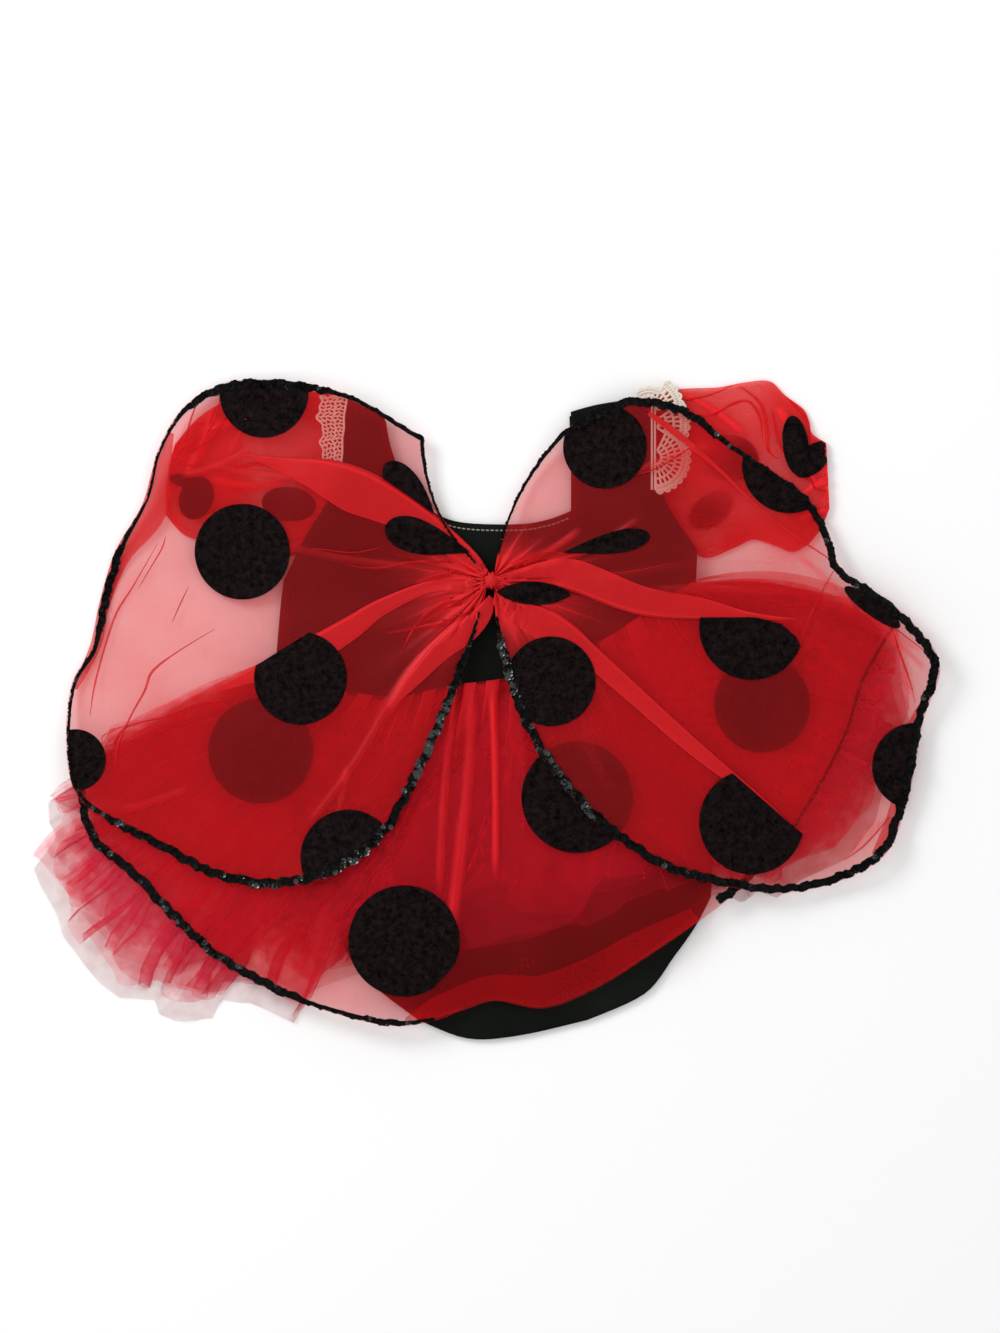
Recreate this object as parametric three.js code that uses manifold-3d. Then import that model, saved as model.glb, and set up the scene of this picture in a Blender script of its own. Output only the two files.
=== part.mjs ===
// A child's ladybug costume, laid flat on its front with its back up: a black leotard with wide straps and
// sheer puff sleeves, a tulle tutu, a spotted organza overskirt, and two spotted organza wings gathered to
// one tack between the shoulders. Millimetres, +Z up, +Y towards the neck, resting on z = 0.
// The pieces are laid down one after another, as when the garment is put on a table. Each cloth is a wall
// whose grid of points is worked out from its seams, then lowered on what already lies there.
import * as THREE from "three";
import { mergeVertices } from "three/addons/utils/BufferGeometryUtils.js";
import Module from "manifold-3d";

const wasm = await Module();
wasm.setup();

// Driving dimensions
const organzaWall = 1.0; // organza, tulle and lace, drawn thicker than the real cloth
const jerseyWall = 1.4; // the leotard's stretch jersey with its lining turned in
const seamGap = 0.3; // between pieces that are sewn or lie together
const restGap = 0.45; // under a cloth that is lowered on others, seam gap and facet error
const trimWidth = 5.5; // the sequin braid
const tack = new THREE.Vector2(3, 83); // where the wings are gathered and sewn down
const tackHalf = 4; // half the width of the tack
const gatherHalf = 5; // half the height of each wing's gathered end

const colours = {
  organza: 0xc4161d,
  tulle: 0xc23a50,
  jersey: 0x161814,
  velvet: 0x0c0a0a,
  sequin: 0x101211,
  lace: 0xe6ddd0,
};

const garment = new THREE.Group();
const mix = THREE.MathUtils.lerp;
const soft = (t) => THREE.MathUtils.smoothstep(t, 0, 1);
const wave = (turns) => Math.cos(2 * Math.PI * turns);

// The bed: the height of what already lies on the table, on a square raster
const cell = 3;
const bedHalf = { x: 330, y: 255 };
const bedColumns = Math.round((2 * bedHalf.x) / cell);
const bedRows = Math.round((2 * bedHalf.y) / cell);
const bed = new Float32Array(bedColumns * bedRows).fill(-restGap);
const bedColumn = (x) => (x + bedHalf.x) / cell - 0.5;
const bedRow = (y) => (y + bedHalf.y) / cell - 0.5;

// Calls visit(cell number, height) for each raster point under the triangle a b c
function overTriangle(a, b, c, visit) {
  const area = (b.x - a.x) * (c.y - a.y) - (c.x - a.x) * (b.y - a.y);
  if (Math.abs(area) < 1e-6) return;
  const left = Math.max(0, Math.ceil(bedColumn(Math.min(a.x, b.x, c.x))));
  const right = Math.min(bedColumns - 1, Math.floor(bedColumn(Math.max(a.x, b.x, c.x))));
  const low = Math.max(0, Math.ceil(bedRow(Math.min(a.y, b.y, c.y))));
  const high = Math.min(bedRows - 1, Math.floor(bedRow(Math.max(a.y, b.y, c.y))));
  for (let row = low; row <= high; row++) {
    const y = (row + 0.5) * cell - bedHalf.y;
    for (let column = left; column <= right; column++) {
      const x = (column + 0.5) * cell - bedHalf.x;
      const wb = ((x - a.x) * (c.y - a.y) - (c.x - a.x) * (y - a.y)) / area;
      const wc = ((b.x - a.x) * (y - a.y) - (x - a.x) * (b.y - a.y)) / area;
      if (wb < 0 || wc < 0 || wb + wc > 1) continue;
      visit(row * bedColumns + column, a.z + wb * (b.z - a.z) + wc * (c.z - a.z));
    }
  }
}

// Adds a solid's surface to the bed
function layOnBed(geometry) {
  const point = geometry.getAttribute("position");
  const corner = (n) => new THREE.Vector3().fromBufferAttribute(point, geometry.index.getX(n));
  for (let n = 0; n < geometry.index.count; n += 3) {
    overTriangle(corner(n), corner(n + 1), corner(n + 2), (at, height) => {
      bed[at] = Math.max(bed[at], height);
    });
  }
}

// Runs a window of the given reach over the raster, first along rows and then along columns
function windowed(field, reach, combine) {
  const pass = (source, step, lineStep, lines, count) => {
    const out = new Float32Array(source.length);
    for (let line = 0; line < lines; line++) {
      for (let n = 0; n < count; n++) {
        const values = [];
        for (let k = Math.max(0, n - reach); k <= Math.min(count - 1, n + reach); k++) {
          values.push(source[line * lineStep + k * step]);
        }
        out[line * lineStep + n * step] = combine(values);
      }
    }
    return out;
  };
  const across = pass(field, 1, bedColumns, bedRows, bedColumns);
  return pass(across, bedColumns, 1, bedColumns, bedRows);
}
const highest = (values) => Math.max(...values);
const average = (values) => values.reduce((sum, value) => sum + value, 0) / values.length;

// The surface that a cloth takes over the bed: it spans hollows and falls no steeper than slope
function drapeOver(slope, reach) {
  const field = windowed(bed, reach, highest);
  const neighbours = [[1, 0], [0, 1], [1, 1], [-1, 1]];
  for (const way of [1, -1]) {
    for (let n = 0; n < field.length; n++) {
      const at = way > 0 ? n : field.length - 1 - n;
      const column = at % bedColumns;
      for (const [dx, dy] of neighbours) {
        if (column - way * dx < 0 || column - way * dx >= bedColumns) continue;
        const from = at - way * (dx + dy * bedColumns);
        if (from < 0 || from >= field.length) continue;
        field[at] = Math.max(field[at], field[from] - slope * cell * Math.hypot(dx, dy));
      }
    }
  }
  const smooth = windowed(field, reach, average);
  return (x, y) => {
    const column = THREE.MathUtils.clamp(bedColumn(x), 0, bedColumns - 1.001);
    const row = THREE.MathUtils.clamp(bedRow(y), 0, bedRows - 1.001);
    const at = Math.floor(row) * bedColumns + Math.floor(column);
    const near = mix(smooth[at], smooth[at + 1], column % 1);
    const far = mix(smooth[at + bedColumns], smooth[at + bedColumns + 1], column % 1);
    return mix(near, far, row % 1);
  };
}

// A grid of the underside of a cloth. place(i, j) gives x and y, and as z the cloth's own fold there.
function loweredGrid({ columns, rows, place, slope = 0.3, reach = 3 }) {
  const over = drapeOver(slope, reach);
  const grid = [];
  for (let i = 0; i <= columns; i++) {
    grid.push([]);
    for (let j = 0; j <= rows; j++) {
      const point = place(i, j);
      point.z = Math.max(0, over(point.x, point.y) + restGap + point.z);
      grid[i].push(point);
    }
  }
  const lift = (a, b, c) => {
    let short = 0;
    overTriangle(a, b, c, (cellNumber, height) => {
      short = Math.max(short, bed[cellNumber] + restGap - height);
    });
    for (const point of [a, b, c]) point.z += short;
    return short;
  };
  for (let tries = 0, worst = 1; tries < 12 && worst > 0.01; tries++) {
    worst = 0;
    for (let i = 0; i < columns; i++) {
      for (let j = 0; j < rows; j++) {
        worst = Math.max(worst, lift(grid[i][j], grid[i + 1][j], grid[i + 1][j + 1]));
        worst = Math.max(worst, lift(grid[i][j], grid[i + 1][j + 1], grid[i][j + 1]));
      }
    }
  }
  return grid;
}

// Turns the faces out where a grid ran the other way round
function facingOut(points, faces) {
  let volume = 0;
  for (const [a, b, c] of faces) volume += points[a].dot(points[b].clone().cross(points[c]));
  const turned = volume < 0 ? faces.map(([a, b, c]) => [a, c, b]) : faces;
  const used = [...new Set(turned.flat())];
  const numbers = new Map(used.map((old, n) => [old, n]));
  const geometry = new THREE.BufferGeometry().setFromPoints(used.map((n) => points[n]));
  geometry.setIndex(turned.flat().map((n) => numbers.get(n)));
  return geometry;
}

// The closed wall between a grid and the same grid moved up by the cloth's thickness. It starts at height
// base over the grid, and has only the grid's cells for which kept is true.
function wallOf(grid, wall, base = 0, kept = () => true) {
  const columns = grid.length - 1;
  const rows = grid[0].length - 1;
  const layer = (rise) => grid.flat().map((p) => new THREE.Vector3(p.x, p.y, p.z + rise));
  const points = layer(base).concat(layer(base + wall));
  const under = (i, j) => i * (rows + 1) + j;
  const over = (i, j) => under(i, j) + points.length / 2;
  const has = (i, j) => i >= 0 && j >= 0 && i < columns && j < rows && kept(i, j);
  const faces = [];
  const rim = (i, j, k, l) => {
    faces.push([under(i, j), under(k, l), over(k, l)]);
    faces.push([under(i, j), over(k, l), over(i, j)]);
  };
  for (let i = 0; i < columns; i++) {
    for (let j = 0; j < rows; j++) {
      if (!has(i, j)) continue;
      faces.push([over(i, j), over(i + 1, j), over(i + 1, j + 1)]);
      faces.push([over(i, j), over(i + 1, j + 1), over(i, j + 1)]);
      faces.push([under(i, j), under(i + 1, j + 1), under(i + 1, j)]);
      faces.push([under(i, j), under(i, j + 1), under(i + 1, j + 1)]);
      if (!has(i, j - 1)) rim(i, j, i + 1, j);
      if (!has(i, j + 1)) rim(i + 1, j + 1, i, j + 1);
      if (!has(i - 1, j)) rim(i, j + 1, i, j);
      if (!has(i + 1, j)) rim(i + 1, j, i + 1, j + 1);
    }
  }
  return facingOut(points, faces);
}

function solidOf(geometry) {
  const bare = new THREE.BufferGeometry();
  bare.setAttribute("position", geometry.getAttribute("position"));
  if (geometry.index) bare.setIndex(geometry.index);
  const merged = mergeVertices(bare, 1e-4);
  return new wasm.Manifold(
    new wasm.Mesh({
      numProp: 3,
      vertProperties: merged.getAttribute("position").array,
      triVerts: new Uint32Array(merged.index.array),
    }),
  );
}

function geometryOf(solid) {
  const mesh = solid.getMesh();
  const geometry = new THREE.BufferGeometry();
  geometry.setAttribute("position", new THREE.BufferAttribute(mesh.vertProperties, 3));
  geometry.setIndex(new THREE.BufferAttribute(mesh.triVerts, 1));
  return geometry;
}

// An upright prism through the whole garment, to cut cloth with
function cutter(points) {
  const geometry = new THREE.ExtrudeGeometry(new THREE.Shape(points), { depth: 160, bevelEnabled: false });
  return solidOf(geometry.translate(0, 0, -40));
}

// The largest body of a cut, without the crumbs that a cutter's edge can leave
function mainBody(solid) {
  return solid.decompose().sort((a, b) => b.volume() - a.volume())[0];
}

function addPiece(name, geometry, colour, roughness = 0.8) {
  const material = new THREE.MeshStandardMaterial({ color: colour, roughness, metalness: 0 });
  const mesh = new THREE.Mesh(geometry, material);
  mesh.name = name;
  garment.add(mesh);
  layOnBed(geometry);
  return geometry;
}

// What lies on a cloth: the cloth's own wall, moved up and cut to an outline, clear of its braid
function onTop(cloth, points, wall, braid) {
  let piece = solidOf(cloth).translate([0, 0, wall + seamGap]).intersect(cutter(points));
  const shifts = [[0, 0, 0], [seamGap, 0, 0], [-seamGap, 0, 0], [0, seamGap, 0], [0, -seamGap, 0]];
  if (braid) for (const shift of shifts) piece = piece.subtract(solidOf(braid).translate(shift));
  return geometryOf(mainBody(piece));
}

// Reads a table's column at u from 0 to 1, smoothly from row to row
function column(rows, key, u) {
  const place = u * (rows.length - 1);
  const row = Math.min(Math.floor(place), rows.length - 2);
  return mix(rows[row][key], rows[row + 1][key], soft(place - row));
}

// A curve through a table's points, which passes row n at n / (rows - 1)
function seam(rows, x = "x", y = "y") {
  const curve = new THREE.CatmullRomCurve3(rows.map((r) => new THREE.Vector3(r[x], r[y], 0)));
  curve.curveType = "centripetal";
  return (u) => curve.getPoint(u);
}

// A line from one point to another, bowed sideways in the middle
function bowed(from, to, bow, v) {
  const along = to.clone().sub(from);
  const side = new THREE.Vector3(-along.y, along.x, 0).normalize();
  return from.clone().addScaledVector(along, v).addScaledVector(side, bow * 4 * v * (1 - v));
}

// Tutu: two gathered skirts of tulle, sewn in the waist seam, one under the leotard and one over it
const waist = [
  { x: -133, y: 34 },
  { x: -95, y: 13 },
  { x: -58, y: 8 },
  { x: -20, y: 16 },
  { x: 20, y: 22 },
  { x: 60, y: 38 },
  { x: 100, y: 61 },
  { x: 135, y: 83 },
];
const tutuHem = [
  { x: -262, y: -34 },
  { x: -288, y: -56 },
  { x: -295, y: -100 },
  { x: -278, y: -134 },
  { x: -252, y: -170 },
  { x: -212, y: -191 },
  { x: -168, y: -192 },
  { x: -126, y: -194 },
  { x: -84, y: -176 },
  { x: -40, y: -160 },
  { x: 8, y: -152 },
  { x: 56, y: -146 },
  { x: 104, y: -130 },
  { x: 150, y: -126 },
  { x: 190, y: -124 },
  { x: 228, y: -106 },
  { x: 258, y: -72 },
  { x: 276, y: -28 },
  { x: 280, y: 14 },
  { x: 262, y: 60 },
];
const waistSeam = seam(waist);
const ruffles = 16;

function tutuGrid({ reach, drop, ruffle, turn }) {
  const hem = seam(tutuHem);
  const columns = ruffles * 3;
  const rows = 4;
  const place = (i, j) => {
    const [u, v] = [i / columns, j / rows];
    const top = waistSeam(u).add(new THREE.Vector3(0, -drop, 0));
    const length = v * (1 + (reach - 1) * v + 0.02 * v * wave(ruffles * u + turn));
    const point = top.clone().add(hem(u).sub(top).multiplyScalar(length));
    point.z = ruffle * v * (0.5 + 0.5 * wave(ruffles * u + turn)) * (0.7 + 0.3 * wave(5 * u));
    return point;
  };
  return { columns, rows, place, slope: 0.35 };
}

const tutuFront = wallOf(loweredGrid(tutuGrid({ reach: 0.96, drop: 8, ruffle: 4, turn: 0.4 })), organzaWall);
addPiece("tutu_front", tutuFront, colours.tulle);

// Sleeves: short gathered tubes of spotted organza, pressed flat, one row for each section across the tube
const sleeveRight = [
  { ux: 104, uy: 203, lx: 130, ly: 106, bow: -13 },
  { ux: 125, uy: 208, lx: 143, ly: 98, bow: -6 },
  { ux: 150, uy: 210, lx: 162, ly: 105, bow: 0 },
  { ux: 175, uy: 212, lx: 182, ly: 110, bow: 3 },
  { ux: 197, uy: 205, lx: 203, ly: 100, bow: 6 },
  { ux: 213, uy: 190, lx: 222, ly: 98, bow: 5 },
  { ux: 222, uy: 168, lx: 226, ly: 120, bow: 2 },
];
const sleeveLeft = [
  { ux: -87, uy: 202, lx: -114, ly: 104, bow: 12 },
  { ux: -110, uy: 206, lx: -133, ly: 98, bow: 5 },
  { ux: -138, uy: 207, lx: -156, ly: 102, bow: 0 },
  { ux: -165, uy: 202, lx: -178, ly: 108, bow: -3 },
  { ux: -187, uy: 189, lx: -196, ly: 113, bow: -4 },
  { ux: -202, uy: 172, lx: -208, ly: 126, bow: -2 },
];
const sleeveHeight = 5.0; // both layers and the air between them
const sleeveGathers = 4;
const sleeveColumns = 10; // across the tube
const sleeveRows = 6; // along it

function sleevePlace(sections, across, along) {
  const upper = seam(sections, "ux", "uy")(along);
  const lower = seam(sections, "lx", "ly")(along);
  return bowed(upper, lower, column(sections, "bow", along), across);
}

function sleeveTop(across, along) {
  const edge = Math.pow(Math.sin(Math.PI * Math.min(Math.max(across, 0.02), 0.98)), 0.4);
  const gathers = 0.9 * wave(sleeveGathers * across + 0.3) * (0.25 + 0.75 * along) * edge;
  return sleeveHeight * (0.55 + 0.45 * edge) + gathers;
}

// A loop round the tube: over the top from the upper edge to the lower one, and back along the table
function sleeveLoop(sections, along, inset) {
  const width = sleevePlace(sections, 0, along).distanceTo(sleevePlace(sections, 1, along));
  const loop = [];
  for (const side of [1, 0]) {
    for (let n = 0; n <= sleeveColumns; n++) {
      const step = n / sleeveColumns;
      const across = mix(inset / width, 1 - inset / width, side ? step : 1 - step);
      const place = sleevePlace(sections, across, along);
      place.z = side ? sleeveTop(side ? step : 1 - step, along) - inset : inset;
      loop.push(place);
    }
  }
  return loop;
}

function sleeveTube(sections) {
  const loops = [];
  for (const inset of [0, organzaWall]) {
    for (let k = 0; k <= sleeveRows; k++) loops.push(sleeveLoop(sections, k / sleeveRows, inset));
  }
  const around = loops[0].length;
  const number = (inner, k, n) => (inner * (sleeveRows + 1) + k) * around + (n % around);
  const faces = [];
  const quad = (a, b, c, d) => faces.push([a, b, c], [a, c, d]);
  for (let n = 0; n < around; n++) {
    for (let k = 0; k < sleeveRows; k++) {
      quad(number(0, k, n), number(0, k + 1, n), number(0, k + 1, n + 1), number(0, k, n + 1));
      quad(number(1, k, n), number(1, k, n + 1), number(1, k + 1, n + 1), number(1, k + 1, n));
    }
    quad(number(0, 0, n), number(0, 0, n + 1), number(1, 0, n + 1), number(1, 0, n));
    const last = sleeveRows;
    quad(number(0, last, n), number(1, last, n), number(1, last, n + 1), number(0, last, n + 1));
  }
  return facingOut(loops.flat(), faces);
}

// The sleeve's upper layer alone, for what lies on it
function sleeveSkin(sections) {
  const grid = [];
  for (let n = 0; n <= sleeveColumns; n++) {
    grid.push([]);
    for (let k = 0; k <= sleeveRows; k++) {
      const place = sleevePlace(sections, n / sleeveColumns, k / sleeveRows);
      place.z = sleeveTop(n / sleeveColumns, k / sleeveRows) - organzaWall;
      grid[n].push(place);
    }
  }
  return wallOf(grid, organzaWall);
}

addPiece("sleeve_right", sleeveTube(sleeveRight), colours.organza, 0.5);
addPiece("sleeve_left", sleeveTube(sleeveLeft), colours.organza, 0.5);

// Leotard: front and back cut to one outline, the front's neckline lower. Each line is one edge of the cut.
const strapTop = { leftOuter: [-92, 204], leftInner: [-66, 199], rightInner: [57, 201], rightOuter: [108, 204] };
function leotardOutline(neckDrop, inset) {
  const spline = (points) => new THREE.SplineCurve(points.map(([x, y]) => new THREE.Vector2(x, y)));
  const edges = [
    { name: "left strap, inner edge", points: [strapTop.leftInner, [-63, 176], [-56, 152]] },
    { name: "back neck", points: [[-56, 152], [-42, 134], [-20, 122], [19, 120], [40, 123], [56, 129]] },
    { name: "right strap, inner edge", points: [[56, 129], [57, 165], strapTop.rightInner] },
    { name: "right armhole", points: [strapTop.rightOuter, [110, 160], [118, 132], [137, 103]] },
    { name: "right side", points: [[137, 103], [137, 50], [147, -60], [146, -122]] },
    { name: "right leg", points: [[146, -122], [118, -156], [98, -182], [62, -203]] },
    { name: "seat", points: [[62, -203], [20, -213], [-12, -214], [-44, -202]] },
    { name: "left leg", points: [[-44, -202], [-82, -170], [-108, -120], [-126, -70]] },
    { name: "left side", points: [[-126, -70], [-136, 10], [-134, 60], [-131, 84]] },
    { name: "left armhole", points: [[-131, 84], [-117, 112], [-96, 150], strapTop.leftOuter] },
  ];
  const points = edges.flatMap((edge) => {
    const drop = edge.name === "back neck" ? neckDrop : 0;
    return spline(edge.points).getPoints(4).map((p) => new THREE.Vector2(p.x, p.y - drop));
  });
  return points.map((p) => p.multiplyScalar(inset)).filter((p, n) => p.distanceTo(points.at(n - 1)) > 0.5);
}

function jerseyPanel(outline, ripple) {
  const columns = 12;
  const rows = 15;
  const place = (i, j) => {
    const [u, v] = [i / columns, j / rows];
    const fold = ripple * (1 + wave(2.3 * u + 1.6 * v)) * Math.sin(Math.PI * v);
    return new THREE.Vector3(mix(-150, 156, u), mix(-220, 212, v), fold);
  };
  const grid = loweredGrid({ columns, rows, place, slope: 0.4, reach: 2 });
  return geometryOf(mainBody(solidOf(wallOf(grid, jerseyWall)).intersect(cutter(outline))));
}

addPiece("leotard_front", jerseyPanel(leotardOutline(6, 0.985), 0), colours.jersey);
const leotardBack = addPiece("leotard_back", jerseyPanel(leotardOutline(0, 1), 0.8), colours.jersey);

// Lace: a crocheted edging on the outer edge of each strap, scalloped over the sleeve
const laceRight = [[97, 201], [108, 178], [109, 158], [113, 139], [122, 143], [131, 154], [134, 166], [130, 176],
  [133, 184], [132, 192], [126, 197], [127, 206], [121, 213], [110, 209]];
const laceLeft = [[-90, 201], [-93, 182], [-93, 160], [-99, 138], [-106, 143], [-107, 152], [-104, 160],
  [-107, 170], [-105, 180], [-108, 190], [-106, 198], [-110, 204]];

function laceStrip(points) {
  const loop = new THREE.SplineCurve(points.concat([points[0]]).map(([x, y]) => new THREE.Vector2(x, y)));
  const outline = loop.getPoints(points.length * 2).slice(1);
  const box = new THREE.Box2().setFromPoints(outline).expandByScalar(6);
  const columns = 4;
  const rows = 7;
  const place = (i, j) =>
    new THREE.Vector3(mix(box.min.x, box.max.x, i / columns), mix(box.min.y, box.max.y, j / rows), 0);
  const grid = loweredGrid({ columns, rows, place, slope: 0.4, reach: 1 });
  return geometryOf(mainBody(solidOf(wallOf(grid, organzaWall)).intersect(cutter(outline))));
}
addPiece("lace_right", laceStrip(laceRight), colours.lace);
addPiece("lace_left", laceStrip(laceLeft), colours.lace);

const tutuBack = wallOf(loweredGrid(tutuGrid({ reach: 1, drop: 2, ruffle: 6, turn: 0 })), organzaWall);
addPiece("tutu_back", tutuBack, colours.tulle);

// Spots: velvet discs on the organza. turn and long stretch a round spot, and cut takes off what a crease or
// a hem hides: a line through x, y with its kept side towards the angle keep, in degrees.
function spotOutline({ x, y, r, long = 1, turn = 0, cuts = [] }) {
  const sides = 14;
  let points = [];
  for (let n = 0; n < sides; n++) {
    const angle = (2 * Math.PI * n) / sides;
    const point = new THREE.Vector2(r * long * Math.cos(angle), r * Math.sin(angle));
    point.rotateAround(new THREE.Vector2(), THREE.MathUtils.degToRad(turn));
    points.push(point.add(new THREE.Vector2(x, y)));
  }
  for (const cut of cuts) {
    const keep = THREE.MathUtils.degToRad(cut.keep);
    const inside = (p) => (p.x - cut.x) * Math.cos(keep) + (p.y - cut.y) * Math.sin(keep);
    points = points.flatMap((p, n) => {
      const next = points[(n + 1) % points.length];
      const [here, there] = [inside(p), inside(next)];
      const kept = here >= 0 ? [p] : [];
      if (here >= 0 !== there >= 0) kept.push(p.clone().lerp(next, here / (here - there)));
      return kept;
    });
  }
  return points;
}

function addSpots(prefix, cloth, braid, spots) {
  spots.forEach((spot, n) => {
    const piece = onTop(cloth, spotOutline(spot), organzaWall, braid);
    addPiece(prefix + "_spot_" + (n + 1), piece, colours.velvet, 0.95);
  });
}

addSpots("sleeve_right", sleeveSkin(sleeveRight), null, [
  { x: 205, y: 170, r: 10, long: 1.9, turn: 82 },
  { x: 162, y: 166, r: 13, long: 1.4, turn: -8 },
]);
addSpots("sleeve_left", sleeveSkin(sleeveLeft), null, [
  { x: -128, y: 133, r: 11, long: 1.6, turn: -6 },
  { x: -188, y: 137, r: 11, long: 1.3, turn: 70 },
]);

// Overskirt: one row for each line down the cloth, from the waist seam to the hem
const overskirt = [
  { wx: -133, wy: 35, x: -265, y: -51, lift: 0 },
  { wx: -118, wy: 24, x: -257, y: -84, lift: 2 },
  { wx: -103, wy: 15, x: -231, y: -108, lift: 0 },
  { wx: -88, wy: 11, x: -205, y: -135, lift: 1 },
  { wx: -72, wy: 9, x: -175, y: -162, lift: 0 },
  { wx: -56, wy: 8, x: -140, y: -182, lift: 2 },
  { wx: -38, wy: 12, x: -102, y: -196, lift: 0 },
  { wx: -20, wy: 16, x: -62, y: -205, lift: 1 },
  { wx: -2, wy: 18, x: -30, y: -201, lift: 3 },
  { wx: 15, wy: 21, x: 0, y: -189, lift: 1 },
  { wx: 32, wy: 28, x: 38, y: -194, lift: 2 },
  { wx: 50, wy: 35, x: 72, y: -181, lift: 0 },
  { wx: 68, wy: 41, x: 105, y: -160, lift: 2 },
  { wx: 84, wy: 50, x: 140, y: -136, lift: 0 },
  { wx: 99, wy: 60, x: 172, y: -110, lift: 1 },
  { wx: 111, wy: 68, x: 200, y: -70, lift: 0 },
  { wx: 122, wy: 75, x: 226, y: -20, lift: 2 },
  { wx: 130, wy: 80, x: 248, y: 25, lift: 0 },
  { wx: 136, wy: 84, x: 268, y: 62, lift: 1 },
];
const skirtWaist = seam(overskirt, "wx", "wy");
const skirtHem = seam(overskirt);
const skirtGathers = 9;
const skirtColumns = 36;
const skirtRows = 8;

// Where row j of a cloth lies, from 0 at its seam to 1 at its hem. The last row is as wide as the braid.
function hemmedRow(j, rows, length, crowding) {
  return j === rows ? 1 : (1 - trimWidth / length) * Math.pow(j / (rows - 1), crowding);
}

function skirtPlace(i, j) {
  const u = i / skirtColumns;
  const [top, hem] = [skirtWaist(u), skirtHem(u)];
  const v = hemmedRow(j, skirtRows, top.distanceTo(hem), 1);
  const point = top.lerp(hem, v);
  point.z = column(overskirt, "lift", u) * v + 1.1 * (1 - v) * (1 + wave(skirtGathers * u));
  return point;
}
const skirtGrid = loweredGrid({ columns: skirtColumns, rows: skirtRows, place: skirtPlace, slope: 0.25 });
const skirt = addPiece("overskirt", wallOf(skirtGrid, organzaWall), colours.organza, 0.5);

// The sequin braid lies on the hem's last row, but not where the hem is folded under
const onSkirtHem = (from, to) => (i, j) => j === skirtRows - 1 && i >= from && i < to;
const braidRise = organzaWall + seamGap;
const braidLeft = wallOf(skirtGrid, organzaWall, braidRise, onSkirtHem(0, 16));
const braidRight = wallOf(skirtGrid, organzaWall, braidRise, onSkirtHem(26, skirtColumns));
addPiece("overskirt_braid_left", braidLeft, colours.sequin, 0.25);
addPiece("overskirt_braid_right", braidRight, colours.sequin, 0.25);
addSpots("overskirt", skirt, null, [
  { x: -53, y: -150, r: 36, cuts: [{ x: -20, y: -165, keep: 138 }] },
  { x: 59, y: -57, r: 36 },
  { x: -146, y: -27, r: 34 },
  { x: 179, y: 3, r: 31 },
]);

// Wings: one row for each gather, from the tack to its point on the hem. bow bends the gather's line
// sideways, ridge is its height near the tack, and lift how far the hem stands up there.
const wingLeft = [
  { x: -40, y: 181, bow: 4, ridge: 3, lift: 3 },
  { x: -66, y: 194, bow: 2, ridge: 7, lift: 1 },
  { x: -96, y: 206, bow: 0, ridge: 4, lift: 2 },
  { x: -130, y: 213, bow: 0, ridge: 8, lift: 1 },
  { x: -168, y: 212, bow: 0, ridge: 4, lift: 0 },
  { x: -196, y: 196, bow: 0, ridge: 3, lift: 1 },
  { x: -213, y: 167, bow: 2, ridge: 6, lift: 2 },
  { x: -221, y: 137, bow: 2, ridge: 4, lift: 0 },
  { x: -240, y: 103, bow: 3, ridge: 7, lift: 2 },
  { x: -250, y: 70, bow: 3, ridge: 4, lift: 0 },
  { x: -256, y: 40, bow: 4, ridge: 3, lift: 2 },
  { x: -269, y: 16, bow: 4, ridge: 5, lift: 0 },
  { x: -272, y: -20, bow: 4, ridge: 9, lift: 1 },
  { x: -266, y: -54, bow: 4, ridge: 5, lift: 0 },
  { x: -243, y: -74, bow: 4, ridge: 4, lift: 2 },
  { x: -213, y: -90, bow: 4, ridge: 6, lift: 0 },
  { x: -180, y: -108, bow: 4, ridge: 4, lift: 1 },
  { x: -145, y: -116, bow: 5, ridge: 6, lift: 0 },
  { x: -110, y: -111, bow: 5, ridge: 3, lift: 2 },
  { x: -82, y: -98, bow: 6, ridge: 5, lift: 1 },
  { x: -60, y: -76, bow: 6, ridge: 3, lift: 1 },
];
const wingRight = [
  { x: 51, y: 181, bow: 9, ridge: 3, lift: 3 },
  { x: 81, y: 198, bow: 4, ridge: 5, lift: 1 },
  { x: 106, y: 201, bow: 2, ridge: 3, lift: 2 },
  { x: 133, y: 193, bow: 0, ridge: 6, lift: 0 },
  { x: 158, y: 173, bow: 0, ridge: 4, lift: 1 },
  { x: 185, y: 155, bow: 0, ridge: 3, lift: 2 },
  { x: 207, y: 139, bow: 0, ridge: 7, lift: 0 },
  { x: 222, y: 115, bow: 0, ridge: 9, lift: 1 },
  { x: 230, y: 91, bow: 0, ridge: 8, lift: 3 },
  { x: 252, y: 76, bow: 0, ridge: 10, lift: 1 },
  { x: 277, y: 55, bow: -2, ridge: 5, lift: 2 },
  { x: 294, y: 28, bow: -3, ridge: 3, lift: 4 },
  { x: 284, y: -6, bow: -3, ridge: 4, lift: 1 },
  { x: 278, y: -38, bow: -4, ridge: 6, lift: 3 },
  { x: 271, y: -68, bow: -5, ridge: 7, lift: 1 },
  { x: 258, y: -95, bow: -6, ridge: 4, lift: 2 },
  { x: 228, y: -112, bow: -8, ridge: 3, lift: 0 },
  { x: 191, y: -119, bow: -11, ridge: 7, lift: 1 },
  { x: 152, y: -114, bow: -14, ridge: 4, lift: 0 },
  { x: 116, y: -104, bow: -17, ridge: 5, lift: 1 },
  { x: 82, y: -82, bow: -21, ridge: 3, lift: 1 },
];
const wingRows = 9;
const crowded = 1.35; // crowds the grid's rows towards the tack
const puff = 7; // height of the gathered cloth beside the tack
const braidStart = 3; // the row from which the braid runs along the wing's sides

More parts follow.
